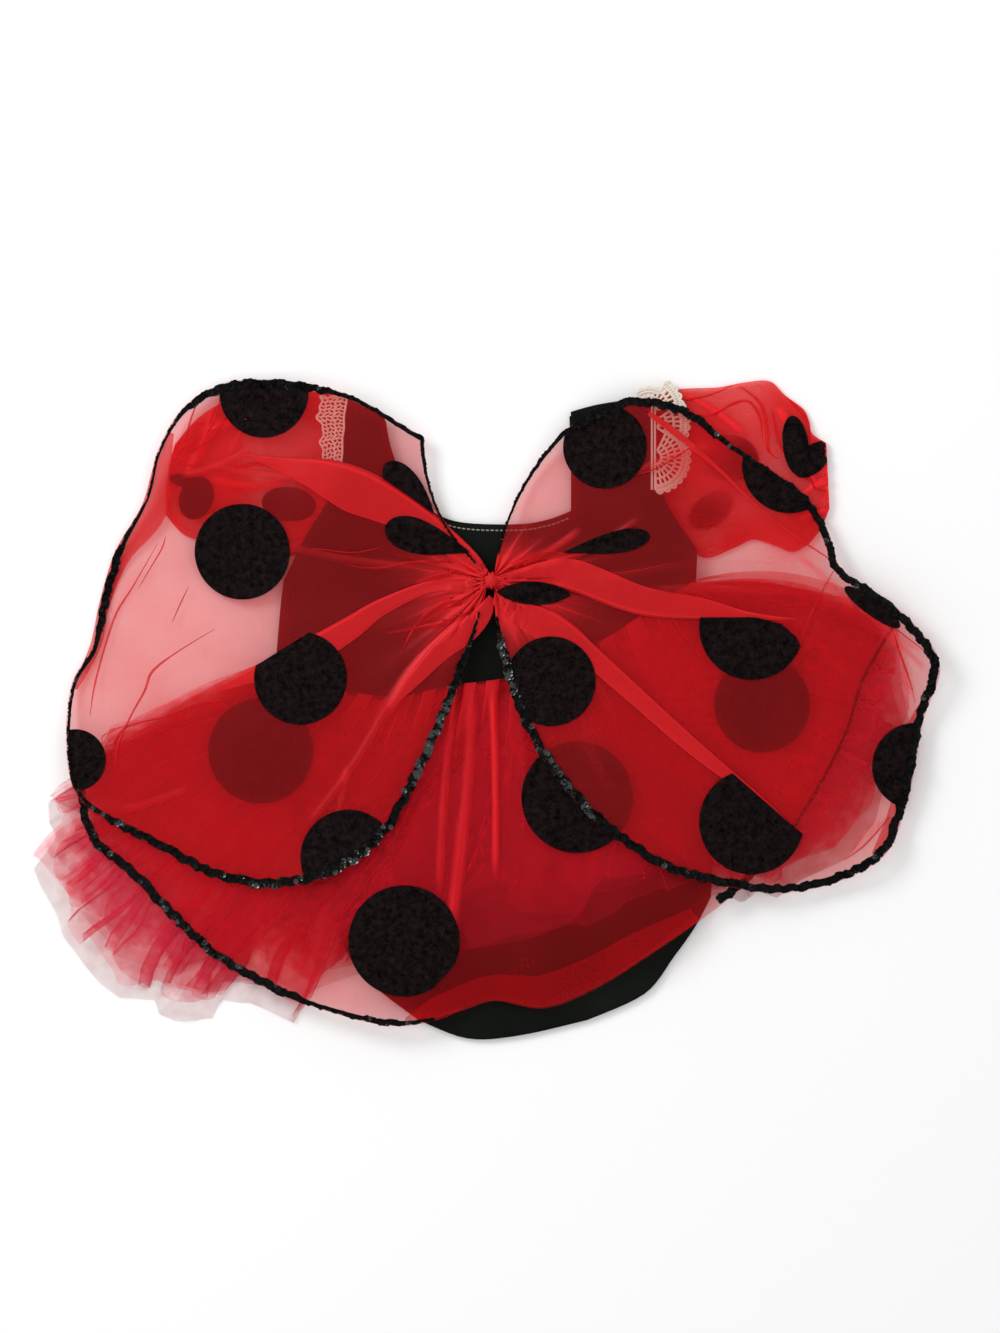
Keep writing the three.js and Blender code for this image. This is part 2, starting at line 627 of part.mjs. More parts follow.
function wingGrid(gathers, side) {
  const columns = (gathers.length - 1) * 2;
  const hem = seam(gathers);
  const rootX = tack.x + side * (tackHalf + seamGap + 0.4);
  const onGather = (i, j) => {
    const u = i / columns;
    const root = new THREE.Vector3(rootX, tack.y + mix(gatherHalf, -gatherHalf, u), 0);
    const tip = hem(u);
    const v = hemmedRow(j, wingRows, root.distanceTo(tip), crowded);
    const point = bowed(root, tip, column(gathers, "bow", u), v);
    const fold = column(gathers, "ridge", u) * Math.pow(1 - v, 2.2) * (0.35 + 0.65 * soft(v * 8));
    point.z = puff * (1 - v) * Math.exp(-9 * v) + fold + column(gathers, "lift", u) * Math.pow(v, 3);
    return point;
  };
  // The first and last columns are as wide as the braid
  const place = (i, j) => {
    const point = onGather(i, j);
    if (i !== 1 && i !== columns - 1) return point;
    const edge = onGather(i === 1 ? 0 : columns, j);
    return edge.lerp(point, Math.min(1, trimWidth / edge.distanceTo(point)));
  };
  return loweredGrid({ columns, rows: wingRows, place, slope: 0.2 });
}

function addWing(name, grid, spots) {
  const wing = addPiece(name, wallOf(grid, organzaWall), colours.organza, 0.5);
  const lastColumn = grid.length - 2;
  const onEdge = (i, j) => j === wingRows - 1 || (j >= braidStart && (i === 0 || i === lastColumn));
  const braid = wallOf(grid, organzaWall, braidRise, onEdge);
  addPiece(name + "_braid", braid, colours.sequin, 0.25);
  addSpots(name, wing, braid, spots);
}

const leftGrid = wingGrid(wingLeft, -1);
const rightGrid = wingGrid(wingRight, 1);

// The tack: a small stitched lump that the wings' gathered ends are sewn to
const tackHeight = 13;
function tackLump() {
  const profile = [[0, 0], [3.2, 0], [3.9, 3], [3.6, 8], [2.2, 12], [0, tackHeight]];
  const lathe = new THREE.LatheGeometry(profile.map(([r, z]) => new THREE.Vector2(r, z)), 14);
  lathe.rotateX(Math.PI / 2).scale(1, 1.3, 1);
  const base = drapeOver(0.4, 1)(tack.x, tack.y) + restGap;
  return geometryOf(solidOf(lathe.translate(tack.x, tack.y, base)));
}
addPiece("wing_tack", tackLump(), colours.organza);

addWing("wing_left", leftGrid, [
  { x: -144, y: 205, r: 29, cuts: [{ x: -144, y: 207, keep: -90 }] },
  { x: -158, y: 102, r: 31 },
  { x: -120, y: 20, r: 30, cuts: [{ x: -130, y: 40, keep: -58 }] },
  { x: -262, y: -34, r: 21, cuts: [{ x: -263, y: -34, keep: 8 }, { x: -250, y: -54, keep: 150 }] },
  { x: -92, y: -94, r: 29, cuts: [{ x: -92, y: -99, keep: 105 }, { x: -72, y: -85, keep: 128 }] },
  { x: -47, y: 113, r: 12, long: 1.9, turn: -20 },
  { x: -48, y: 140, r: 9, long: 1.5, turn: -55 },
]);
addWing("wing_right", rightGrid, [
  { x: 77, y: 168, r: 26 },
  { x: 184, y: 151, r: 22, cuts: [{ x: 184, y: 146, keep: -128 }] },
  { x: 82, y: 106, r: 8, long: 3, turn: 10 },
  { x: 40, y: 19, r: 29 },
  { x: 172, y: 43, r: 22, long: 1.5, turn: -10 },
  { x: 172, y: -72, r: 34, cuts: [{ x: 190, y: -56, keep: -140 }] },
  { x: 268, y: -43, r: 22, cuts: [{ x: 269, y: -43, keep: 184 }] },
  { x: 250, y: 66, r: 5.5, long: 4, turn: -36 },
]);

// The origin is under the middle of the whole garment
const whole = new THREE.Box3().setFromObject(garment);
const middle = whole.getCenter(new THREE.Vector3());
garment.position.set(-middle.x, -middle.y, -whole.min.z);
const model = new THREE.Group();
model.add(garment);

export default model;
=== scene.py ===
"""A child's ladybug costume, laid flat with its back up and seen from straight above.

A black stretch leotard with sheer red puff sleeves, crochet lace at the shoulders, a tulle tutu under a
spotted organza overskirt, and a pair of spotted organza wings tacked between the shoulders. Sizes are in
millimetres in the frame of the CAD model, with +Y towards the neck, and go to metres when a mesh is made.
"""
import math
import random

import bpy
import numpy as np
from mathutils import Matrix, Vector
from mathutils.bvhtree import BVHTree
from mathutils.geometry import delaunay_2d_cdt


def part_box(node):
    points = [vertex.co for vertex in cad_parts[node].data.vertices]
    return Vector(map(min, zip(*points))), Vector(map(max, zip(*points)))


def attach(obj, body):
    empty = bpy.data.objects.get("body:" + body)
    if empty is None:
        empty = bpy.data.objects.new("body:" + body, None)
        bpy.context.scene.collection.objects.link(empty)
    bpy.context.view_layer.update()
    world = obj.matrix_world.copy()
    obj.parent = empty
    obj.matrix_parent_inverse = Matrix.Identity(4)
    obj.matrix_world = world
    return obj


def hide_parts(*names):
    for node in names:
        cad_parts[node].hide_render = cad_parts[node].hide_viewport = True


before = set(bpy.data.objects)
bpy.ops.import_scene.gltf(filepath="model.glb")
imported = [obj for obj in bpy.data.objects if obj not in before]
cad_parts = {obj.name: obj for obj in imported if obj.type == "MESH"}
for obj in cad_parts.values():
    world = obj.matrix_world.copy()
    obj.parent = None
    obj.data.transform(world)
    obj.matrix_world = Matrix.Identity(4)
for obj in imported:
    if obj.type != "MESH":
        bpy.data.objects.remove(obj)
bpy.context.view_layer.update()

# The view: the camera looks straight down on the laid costume, from high enough that the cloth's height
# hardly shifts it, and takes in the photo's 866 mm from top to bottom.
metres = 0.001
view_centre = (9.1, 27.6)
view_length = 866.5
view_height = 3200.0
camera_data = bpy.data.cameras.new("camera")
camera_data.sensor_fit = "AUTO"
camera_data.sensor_width = 36.0
camera_data.lens = camera_data.sensor_width * view_height / view_length
camera = bpy.data.objects.new("camera", camera_data)
camera.location = (view_centre[0] * metres, view_centre[1] * metres, view_height * metres)
bpy.context.scene.collection.objects.link(camera)
bpy.context.scene.camera = camera

# The surface it lies on and the light: a plain white sweep, lit evenly from all round with one large soft
# lamp at the upper left, which shades the folds.
bpy.context.scene.view_settings.view_transform = "Standard"
bpy.context.scene.cycles.transparent_max_bounces = 48


def linear(hex_colour):
    """An sRGB hex colour as linear red, green, blue and alpha."""
    parts = [int(hex_colour[n : n + 2], 16) / 255 for n in (1, 3, 5)]
    return [c / 12.92 if c <= 0.04045 else ((c + 0.055) / 1.055) ** 2.4 for c in parts] + [1.0]


def add(tree, kind, inputs=None, **settings):
    """Adds a shader node. inputs maps its input sockets to values, other nodes or their output sockets."""
    made = tree.nodes.new("ShaderNode" + kind)
    for key, value in settings.items():
        setattr(made, key, value)
    for key, value in (inputs or {}).items():
        source = value.outputs[0] if isinstance(value, bpy.types.Node) else value
        if isinstance(source, bpy.types.NodeSocket):
            tree.links.new(source, made.inputs[key])
        else:
            made.inputs[key].default_value = source
    return made


def new_material(name):
    """An empty node material and its node tree."""
    made = bpy.data.materials.new(name)
    made.use_nodes = True
    made.node_tree.nodes.clear()
    return made, made.node_tree


def finish_material(tree, surface):
    """Joins the last shader to the material's output."""
    add(tree, "OutputMaterial", {"Surface": surface})


def mesh_object(name, points, faces, material, smooth=True):
    """An object from points in mm."""
    mesh = bpy.data.meshes.new(name)
    mesh.from_pydata([tuple(p) for p in np.asarray(points, float) * metres], [], faces)
    mesh.polygons.foreach_set("use_smooth", [smooth] * len(mesh.polygons))
    mesh.materials.append(material)
    mesh.update()
    made = bpy.data.objects.new(name, mesh)
    bpy.context.scene.collection.objects.link(made)
    return made


# Matt paper with a faint grain, near white in this light
paper, tree = new_material("white paper sweep")
grain = add(tree, "TexNoise", {"Scale": 900.0, "Detail": 2.0})
paper_bump = add(tree, "Bump", {"Height": grain, "Strength": 0.02})
paper_shader = add(
    tree,
    "BsdfPrincipled",
    {"Base Color": linear("#FCFCFC"), "Roughness": 0.9, "Normal": paper_bump},
)
finish_material(tree, paper_shader)
sweep_half = 4000.0
sweep_points = [(x, y, -0.3) for x in (-sweep_half, sweep_half) for y in (-sweep_half, sweep_half)]
sweep = mesh_object("sweep", sweep_points, [(0, 2, 3, 1)], paper, smooth=False)

world = bpy.data.worlds.new("studio")
world.use_nodes = True
world.node_tree.nodes["Background"].inputs["Color"].default_value = (1.0, 1.0, 1.0, 1.0)
world.node_tree.nodes["Background"].inputs["Strength"].default_value = 0.81
bpy.context.scene.world = world
lamp_data = bpy.data.lights.new("soft lamp", "AREA")
lamp_data.shape = "DISK"
lamp_data.size = 0.9
lamp_data.energy = 20.0
lamp = bpy.data.objects.new("soft lamp", lamp_data)
lamp.location = (-1.3, 1.1, 1.3)
lamp.rotation_euler = (Vector((0, 0, 0)) - lamp.location).to_track_quat("-Z", "Y").to_euler()
bpy.context.scene.collection.objects.link(lamp)

# Tutu: eight skirts of soft nylon tulle, gathered into the waist seam with their hems left raw. They lie in
# crushed, overlapping pleats, three under the leotard, one of them a paler pink, and five over it.
# The heights of what lies below a piece are read from straight above on an even raster.
cell = 3.0
raster_x = np.arange(-330, 331, cell)
raster_y = np.arange(-255, 256, cell)
look_from = 200.0


def table(columns, *rows):
    """Rows of numbers under named columns."""
    return [dict(zip(columns.split(), row)) for row in rows]


def tree_of(piece):
    """A piece's mesh, made ready for seen_at."""
    mesh = piece.data
    return BVHTree.FromPolygons([v.co for v in mesh.vertices], [p.vertices for p in mesh.polygons])


def seen_at(tree, x, y):
    """How high the first thing seen from straight above x, y is in mm, or None where there is none."""
    eye = Vector((x * metres, y * metres, look_from * metres))
    hit = tree.ray_cast(eye, Vector((0, 0, -1)))[0]
    return hit.z / metres if hit else None


def blurred(field, passes):
    """A field smoothed by averaging with its neighbours."""
    for _ in range(passes):
        wide = np.pad(field, 1, mode="edge")
        field = (wide[:-2, 1:-1] + wide[2:, 1:-1] + wide[1:-1, :-2] + wide[1:-1, 2:] + 2 * field) / 6
    return field


def top_of(node, passes=5):
    """The smoothed top of a CAD cloth, as a function of x and y arrays in mm."""
    tree = tree_of(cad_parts[node])
    field = np.array([[seen_at(tree, x, y) for y in raster_y] for x in raster_x], float)
    # Beside the cloth the height is carried on outwards
    while np.isnan(field).any():
        wide = np.pad(field, 1, mode="edge")
        near = np.stack([wide[:-2, 1:-1], wide[2:, 1:-1], wide[1:-1, :-2], wide[1:-1, 2:]])
        known = ~np.isnan(near)
        count = known.sum(0)
        filled = np.where(known, near, 0).sum(0) / np.maximum(count, 1)
        field = np.where(np.isnan(field) & (count > 0), filled, field)
    return from_raster(blurred(field, passes))


def from_raster(field):
    """A function of x and y arrays in mm from values on the raster."""

    def sample(x, y):
        a = np.clip((np.asarray(x, float) - raster_x[0]) / cell, 0, len(raster_x) - 1.001)
        b = np.clip((np.asarray(y, float) - raster_y[0]) / cell, 0, len(raster_y) - 1.001)
        i, j = a.astype(int), b.astype(int)
        s, t = a - i, b - j
        low = field[i, j] * (1 - s) + field[i + 1, j] * s
        high = field[i, j + 1] * (1 - s) + field[i + 1, j + 1] * s
        return low * (1 - t) + high * t

    return sample


def piled(pieces, clear=0.6):
    """The top of the pieces that lie below one that is made next, as a function of x and y arrays in mm."""
    trees = [tree_of(piece) for piece in pieces]
    field = np.zeros((len(raster_x), len(raster_y)))
    for i, x in enumerate(raster_x):
        for j, y in enumerate(raster_y):
            tops = [seen_at(tree, x, y) for tree in trees]
            field[i, j] = max([top + clear for top in tops if top is not None], default=0.0)
    return from_raster(blurred(field, 1))


def along(rows, keys, u):
    """Columns of a table at u from 0 to 1, on a smooth curve through its rows."""
    data = np.array([[row[k] for k in keys] for row in rows], float)
    place = np.clip(np.asarray(u, float), 0, 1) * (len(data) - 1)
    at = np.minimum(place.astype(int), len(data) - 2)
    t = (place - at)[..., None]
    before = data[np.maximum(at - 1, 0)]
    after = data[np.minimum(at + 2, len(data) - 1)]
    here, there = data[at], data[at + 1]
    bend = (there - before) * 0.5, (after - here) * 0.5
    cubic = (2 * t**3 - 3 * t**2 + 1) * here + (t**3 - 2 * t**2 + t) * bend[0]
    cubic = cubic + (-2 * t**3 + 3 * t**2) * there + (t**3 - t**2) * bend[1]
    return [cubic[..., n] for n in range(len(keys))]


def bowed(start_x, start_y, end_x, end_y, bow, v):
    """Points on lines from start to end, each bowed sideways in its middle."""
    run_x, run_y = end_x - start_x, end_y - start_y
    length = np.hypot(run_x, run_y)
    push = bow * 4 * v * (1 - v) / length
    return start_x + run_x * v - run_y * push, start_y + run_y * v + run_x * push


def wandering(seed, count):
    """A smooth random curve between -1 and 1 with about count swings, as a function of u."""
    draws = np.random.default_rng(seed).uniform(-1, 1, count + 2)

    def sample(u):
        place = np.clip(np.asarray(u, float), 0, 1) * count
        at = np.minimum(place.astype(int), count)
        t = place - at
        t = t * t * (3 - 2 * t)
        return draws[at] * (1 - t) + draws[at + 1] * t

    return sample


def grid_faces(columns, rows, start=0):
    """The quads of a grid of points numbered row by row within each column."""
    faces = []
    for i in range(columns - 1):
        for j in range(rows - 1):
            a = start + i * rows + j
            faces.append((a, a + rows, a + rows + 1, a + 1))
    return faces


def lumps(x, y, seed, size):
    """Smooth random bumps between -1 and 1, about size mm across."""
    draws = np.random.default_rng(seed).uniform(-1, 1, (80, 80))
    a, b = np.asarray(x) / size + 40, np.asarray(y) / size + 40
    i, j = np.floor(a).astype(int), np.floor(b).astype(int)
    s, t = a - i, b - j
    s, t = s * s * (3 - 2 * s), t * t * (3 - 2 * t)
    i, j = i % 79, j % 79
    low = draws[i, j] * (1 - s) + draws[i + 1, j] * s
    high = draws[i, j + 1] * (1 - s) + draws[i + 1, j + 1] * s
    return low * (1 - t) + high * t


def crinkles(x, y, seed, size):
    """Fine crossing crease lines, 1 on a line and 0 beside it, as crushed crisp cloth keeps."""
    bent_x = x + 0.4 * size * lumps(x, y, seed + 5, size * 1.7)
    bent_y = y + 0.4 * size * lumps(x, y, seed + 6, size * 1.7)
    first = np.exp(-((lumps(bent_x, bent_y, seed, size) / 0.12) ** 2))
    second = np.exp(-((lumps(bent_y, bent_x, seed + 1, size * 1.6) / 0.09) ** 2))
    there = np.clip(lumps(x, y, seed + 2, size * 2) * 1.4 + 0.3, 0, 1)
    return np.maximum(first, second) * there


def cloth(name, sheets, material, thick=None):
    """One object from grids of points. Its attribute gather is 1 where the cloth lies flat and single, and
    grows where it stands steep or, by thick, is creased."""
    points = np.concatenate([sheet.reshape(-1, 3) for sheet in sheets])
    faces = []
    start = 0
    for sheet in sheets:
        faces += grid_faces(sheet.shape[0], sheet.shape[1], start)
        start += sheet.shape[0] * sheet.shape[1]
    made = mesh_object(name, points, faces, material)
    normals = np.zeros(len(points) * 3)
    made.data.vertices.foreach_get("normal", normals)
    gather = 1 / np.clip(np.abs(normals[2::3]), 0.5, 1)
    if thick is not None:
        gather = gather * np.concatenate([part.reshape(-1) for part in thick])
    made.data.attributes.new("gather", "FLOAT", "POINT").data.foreach_set("value", gather)
    return made


def grid(columns, rows):
    """Each grid point's place across a cloth, u, and along it, v, both from 0 to 1."""
    across = np.linspace(0, 1, columns)[:, None] * np.ones((1, rows))
    along_it = np.linspace(0, 1, rows)[None, :] * np.ones((columns, 1))
    return across, along_it


def net_material(name, colour, cover, back, clump):
    """Tulle: a soft net whose meshes are too fine to see, so a hazy film that thickens where it bunches.
    Its clumps of 8 mm are as the net crowds together. back is how much light comes through the threads."""
    made, tree = new_material(name)
    steep = add(tree, "Attribute", attribute_name="gather").outputs["Fac"]
    place = add(tree, "TexCoord").outputs["Object"]
    bunch = add(tree, "TexNoise", {"Vector": place, "Scale": 130.0, "Detail": 5.0})
    uneven = add(
        tree,
        "MapRange",
        {"Value": bunch, "From Min": 0.3, "From Max": 0.7, "To Min": 1 - clump, "To Max": 1 + clump},
    )
    dense = add(tree, "Math", {0: steep, 1: uneven}, operation="MULTIPLY")
    alpha = add(tree, "Math", {0: dense, 1: cover}, operation="MULTIPLY", use_clamp=True)
    thread = add(
        tree,
        "BsdfPrincipled",
        {"Base Color": linear(colour), "Roughness": 0.8, "Specular IOR Level": 0.05},
    )
    lit = add(tree, "BsdfTranslucent", {"Color": linear(colour)})
    mixed = add(tree, "MixShader", {0: back, 1: thread, 2: lit})
    clear = add(tree, "BsdfTransparent")
    film = add(tree, "MixShader", {0: alpha, 1: clear, 2: mixed})
    finish_material(tree, film)
    return made


red_tulle = net_material("red nylon tulle", "#EE3C5A", 0.215, 0.5, 0.35)
# The outermost skirt is of a paler, greyer pink
pink_tulle = net_material("dusty pink nylon tulle", "#A6403C", 0.2, 0.5, 0.25)

# The raw hem as it lies, with its corners, and the waist seam, both from left to right
tutu_hem = table(
    "x y",
    (-256, -30), (-271, -46), (-285, -53), (-284, -66), (-279, -76), (-296, -96), (-293, -106),
    (-281, -126), (-276, -140), (-265, -152), (-251, -170), (-239, -181), (-216, -183), (-213, -191),
    (-200, -195), (-179, -195), (-172, -181), (-153, -184), (-126, -198), (-119, -188), (-112, -175),
    (-88, -166), (-62, -160), (-36, -163), (-8, -157), (20, -152), (48, -150), (76, -139), (104, -128),
    (132, -114), (156, -113), (167, -120), (176, -111), (189, -115), (204, -104), (236, -90), (254, -66),
    (262, -36), (276, -4), (270, 26), (268, 50),
)
waist = table("x y", (-133, 34), (-95, 13), (-58, 8), (-20, 16), (20, 22), (60, 38), (100, 61), (135, 83))


def pleat_count(seed, pleats, u):
    """How many pleats lie left of u, in pleats of uneven width."""
    gaps = np.random.default_rng(seed).uniform(0.35, 1.8, pleats)
    starts = np.concatenate([[0], np.cumsum(gaps)]) / gaps.sum()
    return np.interp(u, starts, np.arange(pleats + 1))


def tulle_skirt(seed, reach, level, pleats, fold, jag, drop, lie):
    """One gathered skirt of tulle, as its points and how dense each is. fold says how far its pleats lap
    over, jag how far they carry the cut hem in and out, and level how high it lies. drop is how far in mm
    it lies below the outline, and lie the top of its CAD cloth."""
    columns, rows = pleats * 22, 24
    u, v = grid(columns, rows)
    turns = pleat_count(seed, pleats, u) + 0.3 * v * wandering(seed + 1, pleats)(u)
    lap = fold * (0.55 + 0.45 * wandering(seed + 2, pleats * 2)(u)) * (0.6 + 0.4 * v)
    sway = 0.06 * (1 - v) * (wandering(seed + 5, 9)(u) - 0.4 * np.sign(u - 0.5))
    side = np.clip(u + lap * np.sin(4 * np.pi * turns) / pleats + sway, 0, 1)
    top_x, top_y = along(waist, "xy", side)
    place = side * (len(tutu_hem) - 1)
    hem_x = np.interp(place, range(len(tutu_hem)), [row["x"] for row in tutu_hem])
    hem_y = np.interp(place, range(len(tutu_hem)), [row["y"] for row in tutu_hem])
    swing = jag * np.sin(2 * np.pi * turns + 3 * wandering(seed + 3, pleats)(u))
    swing = swing + 0.5 * jag * wandering(seed + 4, pleats * 3)(u)
    length = v * (reach + v**3 * (swing - jag))
    # Its ends bow outwards, and it is drawn in a little left of the middle
    bulge = 16 * np.clip((side - 0.9) / 0.1, 0, 1) - 9 * np.clip((0.1 - side) / 0.1, 0, 1)
    bulge = bulge - 20 * np.exp(-(((side - 0.28) / 0.14) ** 2))
    x, y = bowed(top_x, top_y, hem_x, hem_y, bulge, length)
    # Towards the hem the pleats are pushed out of line
    tangle = 260 * jag * v**2
    x, y = x + tangle * lumps(x, y, seed + 8, 26), y + 0.7 * tangle * lumps(x, y, seed + 9, 30)
    y = y - drop
    rise = 1.3 * (0.3 + 0.7 * v) * np.cos(2 * np.pi * turns) + 0.4 * lumps(x, y, seed, 18)
    z = np.maximum(lie(x, y) + level + rise, 0.15)
    widen = np.abs(np.gradient(side, axis=0)) * (columns - 1)
    dense = 1 + 0.7 * np.exp(-((widen / 0.45) ** 2)) + 0.3 * crinkles(x, y, seed, 22)
    # Its right end is bunched up under the wing
    bunched = 1 + 0.9 * np.clip((side - 0.76) / 0.08, 0, 1)
    return np.stack([x, y, z], -1), (dense + 1.2 * np.clip(0.75 - v, 0, 1)) * bunched


def tutu(name, skirts, drop, lie, material):
    """Several tulle skirts as one object."""
    made = [tulle_skirt(*skirt, drop, lie) for skirt in skirts]
    return cloth(name, [m[0] for m in made], material, [m[1] for m in made])


# Each skirt's random seed, reach, level, pleats, fold and jag
front_lie = top_of("tutu_front")
front_skirts = [(12, 0.965, -0.9, 10, 0.18, 0.025), (13, 0.9, -0.2, 12, 0.2, 0.035)]
pink_skirts = [(11, 1.0, -1.9, 9, 0.05, 0.004)]
tutu_front = tutu("tutu_front_skirts", front_skirts, drop=8, lie=front_lie, material=red_tulle)
tutu_pink = tutu("tutu_pink_skirt", pink_skirts, drop=8, lie=front_lie, material=pink_tulle)
for piece in (tutu_front, tutu_pink):
    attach(piece, "root")
    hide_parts("tutu_front")

# Sleeves: short puffs of spotted nylon organza, each a tube gathered at the armhole and the cuff and pressed
# flat. The lower layer lies on the table and the upper one on it with a little air between.


def organza_material(name, colour, cover, back):
    """Nylon organza: crisp sheer cloth that glows where light comes through it and turns deep and opaque
    where it is gathered. Its weave of 0.2 mm is drawn as 2 mm streaks, as fine as shows. cover is how much
    of it is thread, and back how much light comes through the threads."""
    made, tree = new_material(name)
    steep = add(tree, "Attribute", attribute_name="gather").outputs["Fac"]
    place = add(tree, "TexCoord").outputs["Object"]
    warp = add(tree, "Mapping", {"Vector": place, "Scale": (500.0, 70.0, 100.0)})
    weft = add(tree, "Mapping", {"Vector": place, "Scale": (70.0, 500.0, 100.0)})
    warp_noise = add(tree, "TexNoise", {"Vector": warp, "Scale": 1.0, "Detail": 2.0})
    weft_noise = add(tree, "TexNoise", {"Vector": weft, "Scale": 1.0, "Detail": 2.0})
    cloud = add(tree, "TexNoise", {"Vector": place, "Scale": 22.0, "Detail": 3.0})
    weave = add(tree, "Math", {0: warp_noise, 1: weft_noise}, operation="ADD")
    weave_range = add(
        tree,
        "MapRange",
        {"Value": weave, "From Min": 0.7, "From Max": 1.3, "To Min": 0.975, "To Max": 1.025},
    )
    cloud_range = add(
        tree,
        "MapRange",
        {"Value": cloud, "From Min": 0.3, "From Max": 0.7, "To Min": 0.95, "To Max": 1.06},
    )
    uneven = add(tree, "Math", {0: weave_range, 1: cloud_range}, operation="MULTIPLY")
    dense = add(tree, "Math", {0: steep, 1: uneven}, operation="MULTIPLY")
    alpha = add(tree, "Math", {0: dense, 1: cover}, operation="MULTIPLY", use_clamp=True)
    bump = add(tree, "Bump", {"Height": weave, "Strength": 0.03, "Distance": 0.0004})
    thread = add(
        tree,
        "BsdfPrincipled",
        {"Base Color": linear(colour), "Roughness": 0.5, "Specular IOR Level": 0.25, "Normal": bump},
    )
    lit = add(tree, "BsdfTranslucent", {"Color": linear(colour), "Normal": bump})
    through = add(
        tree,
        "MapRange",
        {"Value": steep, "From Min": 1.05, "From Max": 1.8, "To Min": back, "To Max": back * 0.25},
    )
    mixed = add(tree, "MixShader", {0: through, 1: thread, 2: lit})
    clear = add(tree, "BsdfTransparent")
    film = add(tree, "MixShader", {0: alpha, 1: clear, 2: mixed})
    finish_material(tree, film)
    return made


wing_organza = organza_material("red nylon organza, wings", "#E31A22", 0.47, 0.59)
skirt_organza = organza_material("red nylon organza, overskirt", "#F01320", 0.47, 0.71)
sleeve_organza = organza_material("red nylon organza, sleeves", "#EE1822", 0.52, 0.6)

sleeve_right = table(
    "ux uy lx ly bow",
    (104, 203, 130, 106, -13), (125, 208, 143, 98, -6), (150, 209, 162, 105, 0), (167, 212, 174, 110, 1),
    (184, 213, 188, 106, 1), (194, 204, 199, 102, 0), (206, 195, 208, 106, 0), (210, 187, 214, 112, 0),
    (212, 179, 219, 120, 0), (221, 173, 223, 130, 0),
)
sleeve_left = table(
    "ux uy lx ly bow",
    (-87, 202, -114, 104, 12), (-110, 206, -133, 98, 5), (-138, 207, -156, 102, 0),
    (-165, 202, -178, 108, -3), (-187, 189, -196, 113, -4), (-202, 172, -208, 126, -2),
)


def creased(x, y, creases, what="high"):
    """How high the creases of a table stand at x, y, or how dense they are there. Each runs from x1, y1 to
    x2, y2, bowed sideways by bend, and fades at its ends unless it is open."""
    rise = np.zeros_like(x)
    for c in creases:
        run_x, run_y = c["x2"] - c["x1"], c["y2"] - c["y1"]
        length = math.hypot(run_x, run_y)
        t = ((x - c["x1"]) * run_x + (y - c["y1"]) * run_y) / length**2
        off = ((x - c["x1"]) * -run_y + (y - c["y1"]) * run_x) / length
        off = off - c.get("bend", 0) * 4 * np.clip(t, 0, 1) * (1 - np.clip(t, 0, 1))
        fade = np.clip(np.minimum(t, 1 - t) * 5 + c.get("open", 0), 0, 1)
        fade = fade * fade * (3 - 2 * fade)
        rise = rise + c.get(what, 0) * fade * np.exp(-((off / c["wide"]) ** 2))
    return rise


sleeve_creases_right = table(
    "x1 y1 x2 y2 high wide bend dense",
    (124, 206, 170, 176, 1.2, 1.6, 3, 0.9), (128, 150, 200, 150, 1.4, 2.4, -6, 0.6),
    (186, 200, 214, 140, 1.8, 2.0, 4, 0.9), (140, 120, 205, 118, 1.5, 2.8, 4, 0.2),
    (196, 130, 224, 150, 1.2, 1.6, 2, 0.7), (202, 122, 224, 128, 1.2, 1.6, 2, 0.7),
)
sleeve_creases_left = table(
    "x1 y1 x2 y2 high wide bend dense",
    (-108, 190, -190, 178, 1.6, 2.0, -5, 0.7), (-150, 206, -170, 160, 1.0, 1.6, 2, 0.5),
    (-178, 198, -190, 156, 1.0, 1.6, 2, 0.5), (-122, 150, -185, 152, 1.4, 2.4, 6, 0.7),
    (-170, 190, -200, 132, 1.6, 2.2, -4, 0.6), (-130, 122, -188, 122, 1.5, 2.4, -4, 0.6),
)


def surface_of(piece):
    """Where a piece's top lies at a point in mm, as a function, or None beside it."""
    tree = tree_of(piece)
    return lambda x, y: seen_at(tree, x, y)


def laid_fold(line, height, section, count=140):
    """Cloth laid back on itself along a line: more layers between the line x, y and its width away. section
    is the layers' path, as shares of the width and heights in mm."""
    u = np.linspace(0, 1, count)
    x, y, wide = along(table("x y wide", *line), ["x", "y", "wide"], u)
    way_x, way_y = np.gradient(x), np.gradient(y)
    length = np.hypot(way_x, way_y)
    side_x, side_y = -way_y / length, way_x / length
    rows = []
    for off, rise in section:
        px, py = x + side_x * wide * off, y + side_y * wide * off
        # Near the cloth's own edge its height is read a little way in
        inward = 5 * np.clip(1 - 2 * off, 0, 1)
        z = np.array([height(a, b) or 0 for a, b in zip(px + side_x * inward, py + side_y * inward)])
        known = z > 0
        z = np.interp(u, u[known], z[known])
        taper = np.clip(np.minimum(u, 1 - u) * 8, 0.2, 1)
        rows.append(np.stack([px, py, z + rise * taper], -1))
    return np.stack(rows, 1)


